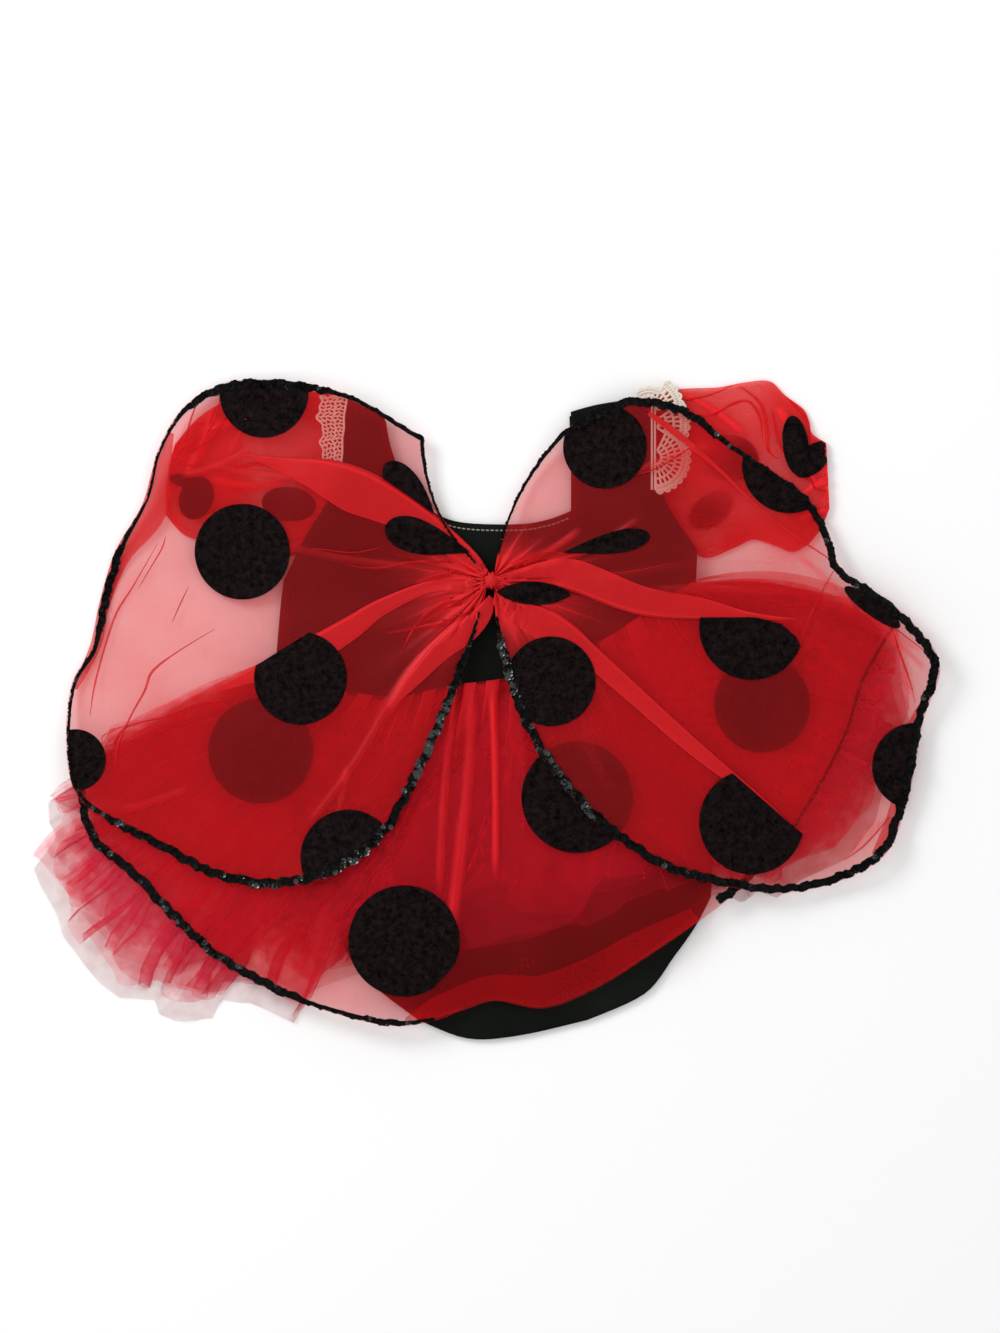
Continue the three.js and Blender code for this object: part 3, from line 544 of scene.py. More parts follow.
# The path of a sharp crease, where the cloth is pinched into a narrow pleat and pressed over
pinched = [(1.0, 0.1), (0.4, 0.35), (0.0, 0.6), (0.5, 0.75), (1.0, 0.4)]
pinched_right = [
    [(164, 210, 0.5), (177, 198, 2.2), (181, 181, 3.0), (182, 168, 2.4), (189, 162, 0.6)],
    [(136, 190, 0.5), (149, 191, 1.6), (160, 197, 2.2), (170, 199, 1.6), (177, 189, 1.8), (179, 176, 0.6)],
    [(185, 196, 0.4), (187, 184, 1.6), (189, 174, 2.0), (196, 160, 0.6)],
    [(194, 203, 0.5), (203, 193, 1.8), (209, 184, 1.4), (209, 170, 0.5)],
    [(199, 150, 0.6), (209, 149, 2.0), (213, 143, 1.6), (221, 141, 1.2)],
    [(112, 200, 0.6), (132, 200, 1.6), (150, 205, 1.2), (160, 210, 0.6)],
]
pinched_left = [
    [(-150, 204, 0.5), (-168, 192, 2.0), (-178, 176, 1.6), (-196, 166, 0.6)],
    [(-124, 154, 0.6), (-150, 160, 2.4), (-172, 156, 1.8), (-200, 160, 0.8)],
    [(-140, 128, 0.6), (-166, 124, 1.6), (-184, 132, 1.4), (-196, 128, 0.6)],
]


def puff_sleeve(name, node, sections, creases, pinches, seed):
    """A flat-pressed tube: the upper layer, then round the edge, and the lower layer back."""
    columns, rows = 150, 100
    lie = top_of(node, 3)
    sheets, thick = [], []
    for under in (False, True):
        across, length = grid(columns, rows)
        ux, uy, lx, ly, bow = along(sections, ["ux", "uy", "lx", "ly", "bow"], length)
        gathers = wandering(seed, 14)(across)
        side = np.clip(across + 0.006 * gathers * np.abs(2 * length - 1) ** 2, 0, 1)
        x, y = bowed(ux, uy, lx, ly, bow, side)
        edge = np.clip(np.minimum(across, 1 - across) * 14, 0, 1) ** 0.5
        low = 0.3 + 0 * x
        pinch = np.abs(2 * length - 1) ** 3
        ripple = 0.55 * np.cos(2 * np.pi * (16 * across + 0.8 * gathers)) * pinch + 0.35 * gathers
        crushed = crinkles(x, y, seed + under, 26)
        puffed = 0.4 * crushed + 1.0 * lumps(x, y, seed, 24)
        high = lie(x, y) - 0.4 + ripple + creased(x, y, creases) + puffed
        middle = 2.0
        z = low + (middle - low) * (1 - edge) if under else middle + (high - middle) * edge
        sheets.append(np.stack([x, y, np.maximum(z, 0.3)], -1))
        folded = 0.7 * np.clip(lumps(x, y, seed + 9, 34), -0.3, 1) + 0.15 * crushed + 0.5 * pinch
        thick.append(1 + creased(x, y, creases, "dense") * (not under) + folded)
    # One surface all round: the two layers share their edges
    tube = np.concatenate([sheets[0], sheets[1][::-1][1:]])
    dense = np.concatenate([thick[0], thick[1][::-1][1:]])
    plain = cloth(name + "_plain", [tube], sleeve_organza)
    strips = [laid_fold(line, surface_of(plain), pinched, 90) for line in pinches]
    bpy.data.objects.remove(plain)
    thick = [dense] + [np.ones(strip.shape[:2]) for strip in strips]
    made = cloth(name, [tube] + strips, sleeve_organza, thick)
    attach(made, "root")
    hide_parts(node)
    return made


right_sleeve = puff_sleeve(
    "sleeve_right_puff", "sleeve_right", sleeve_right, sleeve_creases_right, pinched_right, 21
)
left_sleeve = puff_sleeve(
    "sleeve_left_puff", "sleeve_left", sleeve_left, sleeve_creases_left, pinched_left, 25
)


# Spots of the organza: black nylon velvet flock, glued on in rounds and crushed by wear. Where its crushed
# pile would catch the light, lighter patches are painted into its colour as a painted sheen.
velvet, tree = new_material("crushed black velvet flock")
place = add(tree, "TexCoord").outputs["Object"]
# Where the painted sheen falls: patches of crushed pile that would catch the light
patches = add(
    tree,
    "TexNoise",
    {"Vector": place, "Scale": 240.0, "Detail": 8.0, "Roughness": 0.8, "Distortion": 0.3},
)
painted_sheen_mask = add(tree, "MapRange", {"Value": patches, "From Min": 0.4, "From Max": 0.8})
# Inputs 6 and 7 of a colour mix are its two colours, and output 2 is their mix
# Painted sheen: the lighter colour of these patches stands in for light caught by the crushed pile
black_with_painted_sheen = add(tree, "Mix", {0: painted_sheen_mask, 6: linear("#060405"), 7: linear("#2C2020")}, data_type="RGBA")
pile = add(tree, "TexNoise", {"Vector": place, "Scale": 900.0, "Detail": 3.0})
pile_bump = add(tree, "Bump", {"Height": pile, "Strength": 0.5, "Distance": 0.0006})
velvet_shader = add(
    tree,
    "BsdfPrincipled",
    {"Base Color": black_with_painted_sheen.outputs[2], "Roughness": 0.95, "Specular IOR Level": 0.03, "Normal": pile_bump},
)
finish_material(tree, velvet_shader)


def spot_outline(x, y, r, long=1.0, turn=0.0, tip=0.0, ends=0.0, cuts=()):
    """A round spot, stretched and turned, less what lies beyond its cut lines. tip narrows its forward end
    and ends narrows both, where the gathered cloth squeezes it."""
    cos_turn, sin_turn = math.cos(math.radians(turn)), math.sin(math.radians(turn))
    points = []
    for n in range(96):
        a = 2 * math.pi * n / 96
        narrow = (1 - tip * (0.5 + 0.5 * math.cos(a)) ** 1.4) * abs(math.sin(a)) ** ends
        px, py = r * long * math.cos(a), r * math.sin(a) * narrow
        points.append((x + px * cos_turn - py * sin_turn, y + px * sin_turn + py * cos_turn))
    for cut_x, cut_y, keep in cuts:
        toward = math.cos(math.radians(keep)), math.sin(math.radians(keep))
        inside = [(p[0] - cut_x) * toward[0] + (p[1] - cut_y) * toward[1] for p in points]
        kept = []
        for n, p in enumerate(points):
            q, here, there = points[(n + 1) % len(points)], inside[n], inside[(n + 1) % len(points)]
            if here >= 0:
                kept.append(p)
            if (here >= 0) != (there >= 0):
                t = here / (here - there)
                kept.append((p[0] + (q[0] - p[0]) * t, p[1] + (q[1] - p[1]) * t))
        points = kept
    return points


def flat_mesh(outline, spacing):
    """Points and triangles that fill an outline, its inner points about spacing apart."""
    edge = []
    for n, p in enumerate(outline):
        q = outline[(n + 1) % len(outline)]
        steps = max(1, round(math.hypot(q[0] - p[0], q[1] - p[1]) / spacing))
        edge += [(p[0] + (q[0] - p[0]) * k / steps, p[1] + (q[1] - p[1]) * k / steps) for k in range(steps)]
    ys = [p[1] for p in edge]
    # The inner points are in rows, every other one shifted by half, so that their triangles are even
    inner = []
    row = 0
    y = min(ys) + spacing * 0.5
    while y < max(ys):
        crossings = []
        for n, p in enumerate(edge):
            q = edge[(n + 1) % len(edge)]
            if (p[1] > y) != (q[1] > y):
                crossings.append(p[0] + (q[0] - p[0]) * (y - p[1]) / (q[1] - p[1]))
        crossings.sort()
        for left, right in zip(crossings[::2], crossings[1::2]):
            x = left + spacing * (0.5 + 0.5 * (row % 2))
            while x < right - spacing * 0.4:
                inner.append((x, y))
                x += spacing
        y += spacing * 0.866
        row += 1
    ring = [(n, (n + 1) % len(edge)) for n in range(len(edge))]
    made = delaunay_2d_cdt([Vector(p) for p in edge + inner], ring, [], 1, 1e-4)
    return [tuple(p) for p in made[0]], [tuple(f) for f in made[2]]


# The mesh of a spot, how high it lies on its cloth, and how high one on a lower layer lies on the table
spot_mesh, spot_rise, spot_under = 1.6, 0.5, 1.0


def add_spots(prefix, cloth_piece, spots, under=()):
    """Velvet spots that follow the cloth they are glued to and end where it does. A spot that a fold of the
    cloth cuts in two is a list of its parts. Those numbered in under are on the cloth's lower layer."""
    height = surface_of(cloth_piece)
    for n, spot in enumerate(spots):
        points, faces = [], []
        for part in spot if isinstance(spot, list) else [spot]:
            flat, triangles = flat_mesh(spot_outline(**part), spot_mesh)
            start = len(points)
            on_cloth = []
            for x, y in flat:
                around = [height(x + a, y + b) for a, b in ((0, 0), (1, 0), (-1, 0), (0, 1), (0, -1))]
                on_cloth.append(around[0] is not None)
                top = max([z for z in around if z is not None], default=0.0)
                points.append((x, y, spot_under if n + 1 in under else top + spot_rise))
            for face in triangles:
                if all(on_cloth[k] for k in face):
                    faces.append(tuple(start + k for k in face))
        used = sorted({k for face in faces for k in face})
        number = {k: m for m, k in enumerate(used)}
        name = f"{prefix}_spot_{n + 1}"
        kept_faces = [tuple(number[k] for k in face) for face in faces]
        made = mesh_object(name + "_velvet", [points[k] for k in used], kept_faces, velvet)
        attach(made, "root")
        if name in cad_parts:
            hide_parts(name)


add_spots(
    "sleeve_right",
    right_sleeve,
    [
        [
            {"x": 201, "y": 171, "r": 8.5, "long": 2.3, "turn": 97},
            {"x": 212, "y": 162, "r": 8.5, "long": 1.75, "turn": 44},
        ],
        {"x": 159, "y": 163, "r": 15, "long": 1.2, "turn": -8},
        {"x": 146, "y": 129, "r": 10, "long": 1.6, "turn": 38},
    ],
    under=[2, 3],
)
add_spots(
    "sleeve_left",
    left_sleeve,
    table(
        "x y r long turn",
        (-128, 133, 11, 1.6, -6), (-188, 137, 11, 1.3, 70), (-192, 147, 4.5, 3.2, -14),
    ),
)

# Leotard: nylon and elastane jersey, a front and a back sewn at the sides, with a scooped neck and wide
# straps. The neck's edge is turned in over elastic and topstitched in a light thread.
# Fine knitted ribs, matt and a little greyer where it is worn
jersey, tree = new_material("black nylon and elastane jersey")
place = add(tree, "TexCoord").outputs["Object"]
ribs = add(
    tree,
    "TexWave",
    {"Vector": place, "Scale": 420.0, "Distortion": 1.2, "Detail": 1.0},
    bands_direction="X",
)
wear = add(tree, "TexNoise", {"Vector": place, "Scale": 14.0, "Detail": 4.0})
wear_range = add(tree, "MapRange", {"Value": wear, "From Min": 0.35, "From Max": 0.7})
jersey_colour = add(
    tree,
    "Mix",
    {0: wear_range, 6: linear("#0A0D0A"), 7: linear("#131612")},
    data_type="RGBA",
)
jersey_bump = add(tree, "Bump", {"Height": ribs, "Strength": 0.15, "Distance": 0.0003})
jersey_shader = add(
    tree,
    "BsdfPrincipled",
    {
        "Base Color": jersey_colour.outputs[2],
        "Roughness": 0.6,
        "Specular IOR Level": 0.05,
        "Normal": jersey_bump,
    },
)
finish_material(tree, jersey_shader)


def smooth_line(points, steps):
    """A smooth curve through points."""
    xs, ys = along(table("x y", *points), "xy", np.linspace(0, 1, steps * (len(points) - 1) + 1))
    return list(zip(xs.tolist(), ys.tolist()))


jersey_thick = 1.0
leotard_edges = {
    "left strap, inner": [(-66, 190), (-63, 174), (-56, 152)],
    "neck": [(-56, 152), (-42, 134), (-20, 122), (19, 120), (40, 123), (56, 129)],
    "right strap, inner": [(56, 129), (56, 162), (55, 193)],
    "right strap, top": [(55, 193), (74, 198), (108, 203)],
    "right armhole": [(108, 203), (110, 160), (118, 132), (137, 103)],
    "right side": [(137, 103), (137, 50), (147, -60), (146, -122)],
    "right leg": [(146, -122), (136, -141), (122, -161), (103, -185), (66, -202)],
    "seat": [(66, -202), (22, -212), (-12, -214), (-44, -202)],
    "left leg": [(-44, -202), (-82, -170), (-108, -120), (-126, -70)],
    "left side": [(-126, -70), (-136, 10), (-134, 60), (-131, 84)],
    "left armhole": [(-131, 84), (-117, 112), (-96, 150), (-92, 202)],
    "left strap, top": [(-92, 202), (-80, 197), (-66, 190)],
}
leotard_creases = table(
    "x1 y1 x2 y2 high wide bend",
    (40, -196, 104, -168, 1.0, 4, 3), (-10, -196, 60, -188, 0.8, 5, -3), (-60, 110, 30, 100, 0.7, 5, 4),
    (60, 120, 96, 180, 0.8, 4, 3), (-40, 40, 60, 60, 0.7, 5, -4),
)


def leotard_panel(name, node, inset, drop, sink=0.2, lowest=1.3):
    """One panel of jersey in the leotard's outline, as thick as the cloth. The front one is smaller by its
    inset, so that the back one hides its edge, and its neck is cut lower by drop in mm."""
    outline = []
    for edge, points in leotard_edges.items():
        lower = drop if edge == "neck" else 0
        outline += [(x * inset, (y - lower) * inset) for x, y in smooth_line(points, 6)[:-1]]
    flat, faces = flat_mesh(outline, 4.0)
    x, y = np.array(flat).T
    z = top_of(node)(x, y) - sink + creased(x, y, leotard_creases)
    made = mesh_object(name, np.stack([x, y, np.maximum(z, lowest)], -1), faces, jersey)
    thick = made.modifiers.new("cloth thickness", "SOLIDIFY")
    thick.thickness = jersey_thick * metres
    thick.offset = -1.0
    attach(made, "root")
    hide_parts(node)
    return made


front_panel = leotard_panel("leotard_front_panel", "leotard_front", inset=0.985, drop=6)
back_panel = leotard_panel("leotard_back_panel", "leotard_back", inset=1.0, drop=0)

# Topstitching: small stitches of polyester thread, each 2.2 mm long with 0.9 mm between them. They run 5 mm
# inside the neck's edge and hold down what is turned in. The thread is pale and twisted, against the black.
stitch_length, stitch_gap, stitch_radius, stitch_rise = 2.2, 0.9, 0.45, 0.25
thread, tree = new_material("ecru polyester thread")
place = add(tree, "TexCoord").outputs["Object"]
twist = add(tree, "TexNoise", {"Vector": place, "Scale": 2500.0})
twist_bump = add(tree, "Bump", {"Height": twist, "Strength": 0.3, "Distance": 0.0001})
thread_shader = add(
    tree,
    "BsdfPrincipled",
    {"Base Color": linear("#8E8A80"), "Roughness": 0.6, "Normal": twist_bump},
)
finish_material(tree, thread_shader)


def stitches(points, height, length, gap, radius, rise):
    """Short rounded stitches along a line, as the points and faces of one mesh."""
    made_points, made_faces = [], []
    line = np.array(points)
    steps = np.hypot(*np.diff(line, axis=0).T)
    run = np.concatenate([[0], np.cumsum(steps)])
    at = gap
    while at + length < run[-1]:
        ends = [np.array([np.interp(s, run, line[:, k]) for k in (0, 1)]) for s in (at, at + length)]
        way = (ends[1] - ends[0]) / np.linalg.norm(ends[1] - ends[0])
        side = np.array([-way[1], way[0]]) * radius
        z = (height(*((ends[0] + ends[1]) / 2)) or 0) + rise
        start = len(made_points)
        for t, lift in ((0, -0.3), (0.25, 0.35), (0.75, 0.35), (1, -0.3)):
            mid = ends[0] + (ends[1] - ends[0]) * t
            made_points.append((mid[0] + side[0], mid[1] + side[1], z + lift - 0.1))
            made_points.append((mid[0], mid[1], z + lift + radius * 0.8))
            made_points.append((mid[0] - side[0], mid[1] - side[1], z + lift - 0.1))
        for k in range(3):
            for m in range(2):
                a = start + k * 3 + m
                made_faces.append((a, a + 3, a + 4, a + 1))
        at += length + gap
    return made_points, made_faces


neck_stitch = [(-54, 147), (-41, 130), (-20, 118), (19, 116), (40, 119), (54, 124)]
neck_line = smooth_line(neck_stitch, 8)
stitch_points, stitch_faces = stitches(
    neck_line, surface_of(back_panel), stitch_length, stitch_gap, stitch_radius, stitch_rise
)
neck_stitches = mesh_object("neck_topstitching", stitch_points, stitch_faces, thread)
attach(neck_stitches, "root")

# Lace: crocheted cotton edging in scallops, sewn to the outer edge of each strap. It is worked in rows of
# chains and trebles, with open meshes of 2 to 3 mm between its solid bands.
# Dull creamy yarn with the fuzz and ridges of its ply
cotton, tree = new_material("ecru cotton crochet")
place = add(tree, "TexCoord").outputs["Object"]
ply = add(tree, "TexNoise", {"Vector": place, "Scale": 1400.0, "Detail": 3.0})
ply_bump = add(tree, "Bump", {"Height": ply, "Strength": 0.6, "Distance": 0.0004})
cotton_shader = add(
    tree,
    "BsdfPrincipled",
    {"Base Color": linear("#E4DACB"), "Roughness": 0.85, "Sheen Weight": 0.1, "Normal": ply_bump},
)
finish_material(tree, cotton_shader)
# The right one spreads in fans of trebles, the left one lies narrowed with its strip of meshes on edge
lace_fans = table(
    "x y r low high",
    (109, 163, 23, -86, 64), (107, 185, 24.5, -34, 34), (106, 194, 22, 4, 60), (106, 194, 14.5, 60, 124),
)
lace_scallops_left = table(
    "ix iy ox oy",
    (-90, 203, -107, 203), (-91, 196, -107, 196), (-92, 189, -109, 189), (-92, 182, -105, 181),
    (-93, 175, -107, 173), (-93, 167, -105, 164), (-94, 159, -106, 155), (-96, 150, -107, 145),
    (-98, 142, -104, 139),
)


def rod(points, faces, lie, line, radius):
    """A thread of yarn along a line of x, y on the lace's height."""
    line = np.array(line)
    z = lie(line[:, 0], line[:, 1])
    start = len(points)
    for n, (x, y) in enumerate(line):
        before, after = line[max(n - 1, 0)], line[min(n + 1, len(line) - 1)]
        way = (after - before) / max(np.linalg.norm(after - before), 1e-6)
        for k in range(6):
            a = 2 * math.pi * k / 6
            off = radius * math.cos(a)
            points.append((x - way[1] * off, y + way[0] * off, z[n] + radius * math.sin(a)))
    for n in range(len(line) - 1):
        for k in range(6):
            a, b = start + n * 6 + k, start + n * 6 + (k + 1) % 6
            faces.append((a, b, b + 6, a + 6))


def lace(name, node, points, faces):
    """A finished edging."""
    made = mesh_object(name, points, faces, cotton)
    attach(made, "root")
    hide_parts(node)


# Each fan is rows of chain, at these shares of its radius, joined by trebles this far apart in mm
fan_rows = [(0.2, 2.6), (0.4, 2.8), (0.6, 3.0), (0.8, 1.7), (0.94, 0)]
points, faces = [], []
lie = top_of("lace_right", 2)
for fan in lace_fans:
    span = math.radians(fan["high"] - fan["low"])

    def at(share, t):
        """A point of the fan, from its share of the radius and its place t round it."""
        a = math.radians(fan["low"]) + span * t
        return fan["x"] + fan["r"] * share * math.cos(a), fan["y"] + fan["r"] * share * math.sin(a)

    for row, (share, apart) in enumerate(fan_rows):
        rod(points, faces, lie, [at(share, n / 24) for n in range(25)], 1.0 if share > 0.7 else 0.85)
        if apart:
            beyond = fan_rows[row + 1][0]
            count = max(2, round(fan["r"] * (share + beyond) / 2 * span / apart))
            for n in range(count + 1):
                rod(points, faces, lie, [at(share, n / count), at(beyond, n / count)], 0.8)
    # Picots: small loops of chain on the outer row
    loops = round(fan["r"] * span / 5.0)
    for n in range(loops):
        line = [at(0.94 + 0.09 * math.sin(math.pi * k / 8), (n + k / 8) / loops) for k in range(9)]
        rod(points, faces, lie, line, 0.8)
# The foot of chains that is sewn to the strap
for x in (107.5, 109.5):
    rod(points, faces, lie, [(x, 142 + 3 * n) for n in range(20)], 0.7)
lace("lace_right_edging", "lace_right", points, faces)

bars, rows = 3, 5
points, faces = [], []
lie = top_of("lace_left", 2)
columns = (len(lace_scallops_left) - 1) * bars


def strip_place(u, v):
    """A point of the left edging, from how far down it is, u, and how far out from the strap, v."""
    ix, iy, ox, oy = along(lace_scallops_left, ["ix", "iy", "ox", "oy"], np.array([u]))
    scallop = 1 + 0.05 * math.cos(2 * math.pi * u * columns / 3)
    return (ix + (ox - ix) * v * scallop).item(), (iy + (oy - iy) * v * scallop).item()


for r in range(rows + 1):
    swing = 0.25 / rows if 0 < r < rows else 0.0
    steps = [n / (columns * 3) for n in range(columns * 3 + 1)]
    line = [strip_place(u, r / rows + swing * math.cos(math.pi * u * columns)) for u in steps]
    rod(points, faces, lie, line, 0.75 if r in (0, rows, rows // 2) else 0.5)
for c in range(columns + 1):
    for r in range(rows):
        u = (c + (0.5 if r % 2 else 0.0)) / columns
        lean = (0.35 if r % 2 else -0.35) / columns
        if u <= 1:
            line = [strip_place(min(max(u + lean * t, 0), 1), (r + t) / rows) for t in (0, 0.5, 1)]
            rod(points, faces, lie, line, 0.55)
lace("lace_left_edging", "lace_left", points, faces)

# The tutu's back skirts: five of the same red tulle, gathered into the back of the waist seam, so that they
# lie over the leotard. Each is a little shorter and higher than the one below it.
tutu_back = tutu(
    "tutu_back_skirts",
    [
        (31, 0.985, -1.8, 9, 0.12, 0.02),
        (32, 0.955, -1.2, 11, 0.2, 0.035),
        (33, 0.925, -0.5, 12, 0.22, 0.045),
        (34, 0.88, 0.1, 14, 0.2, 0.05),
        (35, 0.85, 0.5, 12, 0.2, 0.045),
    ],
    drop=2,
    lie=top_of("tutu_back"),
    material=red_tulle,
)
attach(tutu_back, "root")
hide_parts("tutu_back")

# Overskirt: a fan of spotted organza gathered into the waist seam, its hem edged with sequin braid except
# where it lies folded under at the bottom.
overskirt = table(
    "wx wy x y bow",
    (-133, 35, -265, -51, -9), (-118, 24, -257, -84, -5), (-103, 15, -231, -108, 0),
    (-88, 11, -205, -135, 0), (-72, 9, -175, -162, 0), (-56, 8, -140, -182, 0), (-38, 12, -102, -196, 0),
    (-20, 16, -62, -205, 0), (-2, 18, -30, -201, 0), (15, 21, 0, -189, 0), (32, 28, 38, -194, 0),
    (50, 35, 72, -181, 0), (68, 41, 105, -160, 0), (84, 50, 140, -136, 0), (99, 60, 172, -110, 0),
    (111, 68, 203, -73, 0), (122, 75, 232, -21, 3), (130, 80, 246, 20, 8), (136, 84, 268, 58, 16),
)
skirt_creases = table(
    "x1 y1 x2 y2 high wide bend open dense",
    (-8, 12, -24, -150, 1.8, 3.0, 2, 0.3, 0.5), (-20, 10, -30, -120, 1.6, 2.2, -2, 0.3, 0.4),
    (4, 14, 6, -110, 1.8, 1.8, 1, 0.3, 0.7), (22, 16, 26, -90, 1.2, 3.2, 2, 0.3, 0),
    (-34, 2, -66, -110, 1.2, 3.0, 3, 0.3, 0), (40, 26, 66, -80, 1.1, 3.0, -2, 0.3, 0),
    (-14, -60, -22, -186, 1.2, 3.6, -2, 0, 0), (10, -120, -4, -186, 1.2, 3.4, 2, 0, 0),
    (-70, 0, -150, -120, 1.0, 3.0, 4, 0.3, 0), (90, 50, 170, -40, 1.0, 3.0, -4, 0.3, 0),
)
skirt_lie = top_of("overskirt")
under_skirt = piled([back_panel])


def skirt_place(u, v):
    """Where a point of the overskirt lies, from its place u in the waist seam and how far down it is, v."""
    wx, wy, hx, hy, bow = along(overskirt, ["wx", "wy", "x", "y", "bow"], u)
    return bowed(wx, wy, hx, hy, bow, v)


def overskirt_sheet(columns, rows, pleats):
    """The overskirt's points and how dense it is at each."""
    u, v = grid(columns, rows)
    turns = pleat_count(41, pleats, u)
    close = np.exp(-9 * v)
    side = np.clip(u + 0.14 * close * np.sin(4 * np.pi * turns) / pleats, 0, 1)
    x, y = skirt_place(side, v)
    pleat = (1.3 * np.exp(-8 * v) + 0.2 * np.exp(-3 * v)) * np.cos(2 * np.pi * turns)
    crushed = crinkles(x, y, 43, 45)
    soft = 0.5 * lumps(x, y, 42, 40) + 0.12 * crushed
    z = skirt_lie(x, y) - 0.2 + pleat + creased(x, y, skirt_creases) + soft
    # Near the hem it is held up by the edge turned in under it
    z = np.maximum(z, under_skirt(x, y) + 0.3 * pleat + 0.8 * v**4)
    gathered = 0.5 * close * (0.5 + 0.5 * np.cos(2 * np.pi * turns))
    dense = 1 + creased(x, y, skirt_creases, "dense") + 0.04 * crushed + gathered
    return np.stack([x, y, z], -1), dense


# One more layer under the edge, where the hem is turned in
turned_under = [(0.0, -0.2), (0.1, -0.5), (0.4, -0.6), (0.7, -0.6), (1.0, -0.5)]
skirt_turned = [
    (-52, -203, 3), (-36, -201, 12), (-14, -195, 16), (7, -189, 17), (38, -193, 21), (72, -180, 20),
    (105, -159, 17), (138, -137, 10),
]
skirt_sheet, skirt_dense = overskirt_sheet(columns=460, rows=90, pleats=22)
skirt_flat = cloth("overskirt_flat", [skirt_sheet], skirt_organza)
turned = laid_fold(skirt_turned, surface_of(skirt_flat), turned_under)
bpy.data.objects.remove(skirt_flat)
skirt_thick = [skirt_dense, np.full(turned.shape[:2], 1.12)]
skirt = cloth("overskirt_organza", [skirt_sheet, turned], skirt_organza, skirt_thick)
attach(skirt, "root")
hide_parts("overskirt")
add_spots(
    "overskirt",
    skirt,
    [
        {"x": -53, "y": -150, "r": 36, "cuts": [(-20, -165, 138)]},
        {"x": 59, "y": -57, "r": 36},
        {"x": -146, "y": -27, "r": 34},
        {"x": 179, "y": 3, "r": 31},
    ],
)

# Sequin braid on the overskirt's hem: black cup sequins of 3.6 mm, sewn overlapping in two rows on a narrow
# black tape. Where the braid lies narrow or on edge only one row of smaller ones shows.
def sequin_material(name, colour, roughness, level):
    """Black plastic film with worn patches, duller or glossier by its roughness and specular level."""
    made, tree = new_material(name)
    place = add(tree, "TexCoord").outputs["Object"]
    scuff = add(tree, "TexNoise", {"Vector": place, "Scale": 160.0, "Detail": 3.0})
    scuff_range = add(
        tree,
        "MapRange",
        {"Value": scuff, "To Min": roughness * 0.6, "To Max": roughness * 1.4},
    )
    shader = add(
        tree,
        "BsdfPrincipled",
        {"Base Color": linear(colour), "Roughness": scuff_range, "Specular IOR Level": level},
    )
    finish_material(tree, shader)
    return made


# Scuffed dull ones, which are most, and stretches that still lie flat and throw back the light, partly by
# their real gloss and partly by a painted reflection in their lighter, greener colour
dull_sequin = sequin_material("black polyester sequin film, scuffed", "#070707", 0.5, 0.1)
# Painted reflection: the glossy copy's lighter, greener black stands in for the light it throws back
glossy_sequin_painted_reflection = sequin_material("black polyester sequin film, glossy with painted reflection", "#141B17", 0.22, 0.7)


# A sequin's radius, the depth of its cup, the sides it is drawn with, and how high it and the tape lie
sequin_radius, cup_depth, sequin_sides, sequin_rise, tape_rise = 1.85, 0.35, 7, 0.9, 0.35


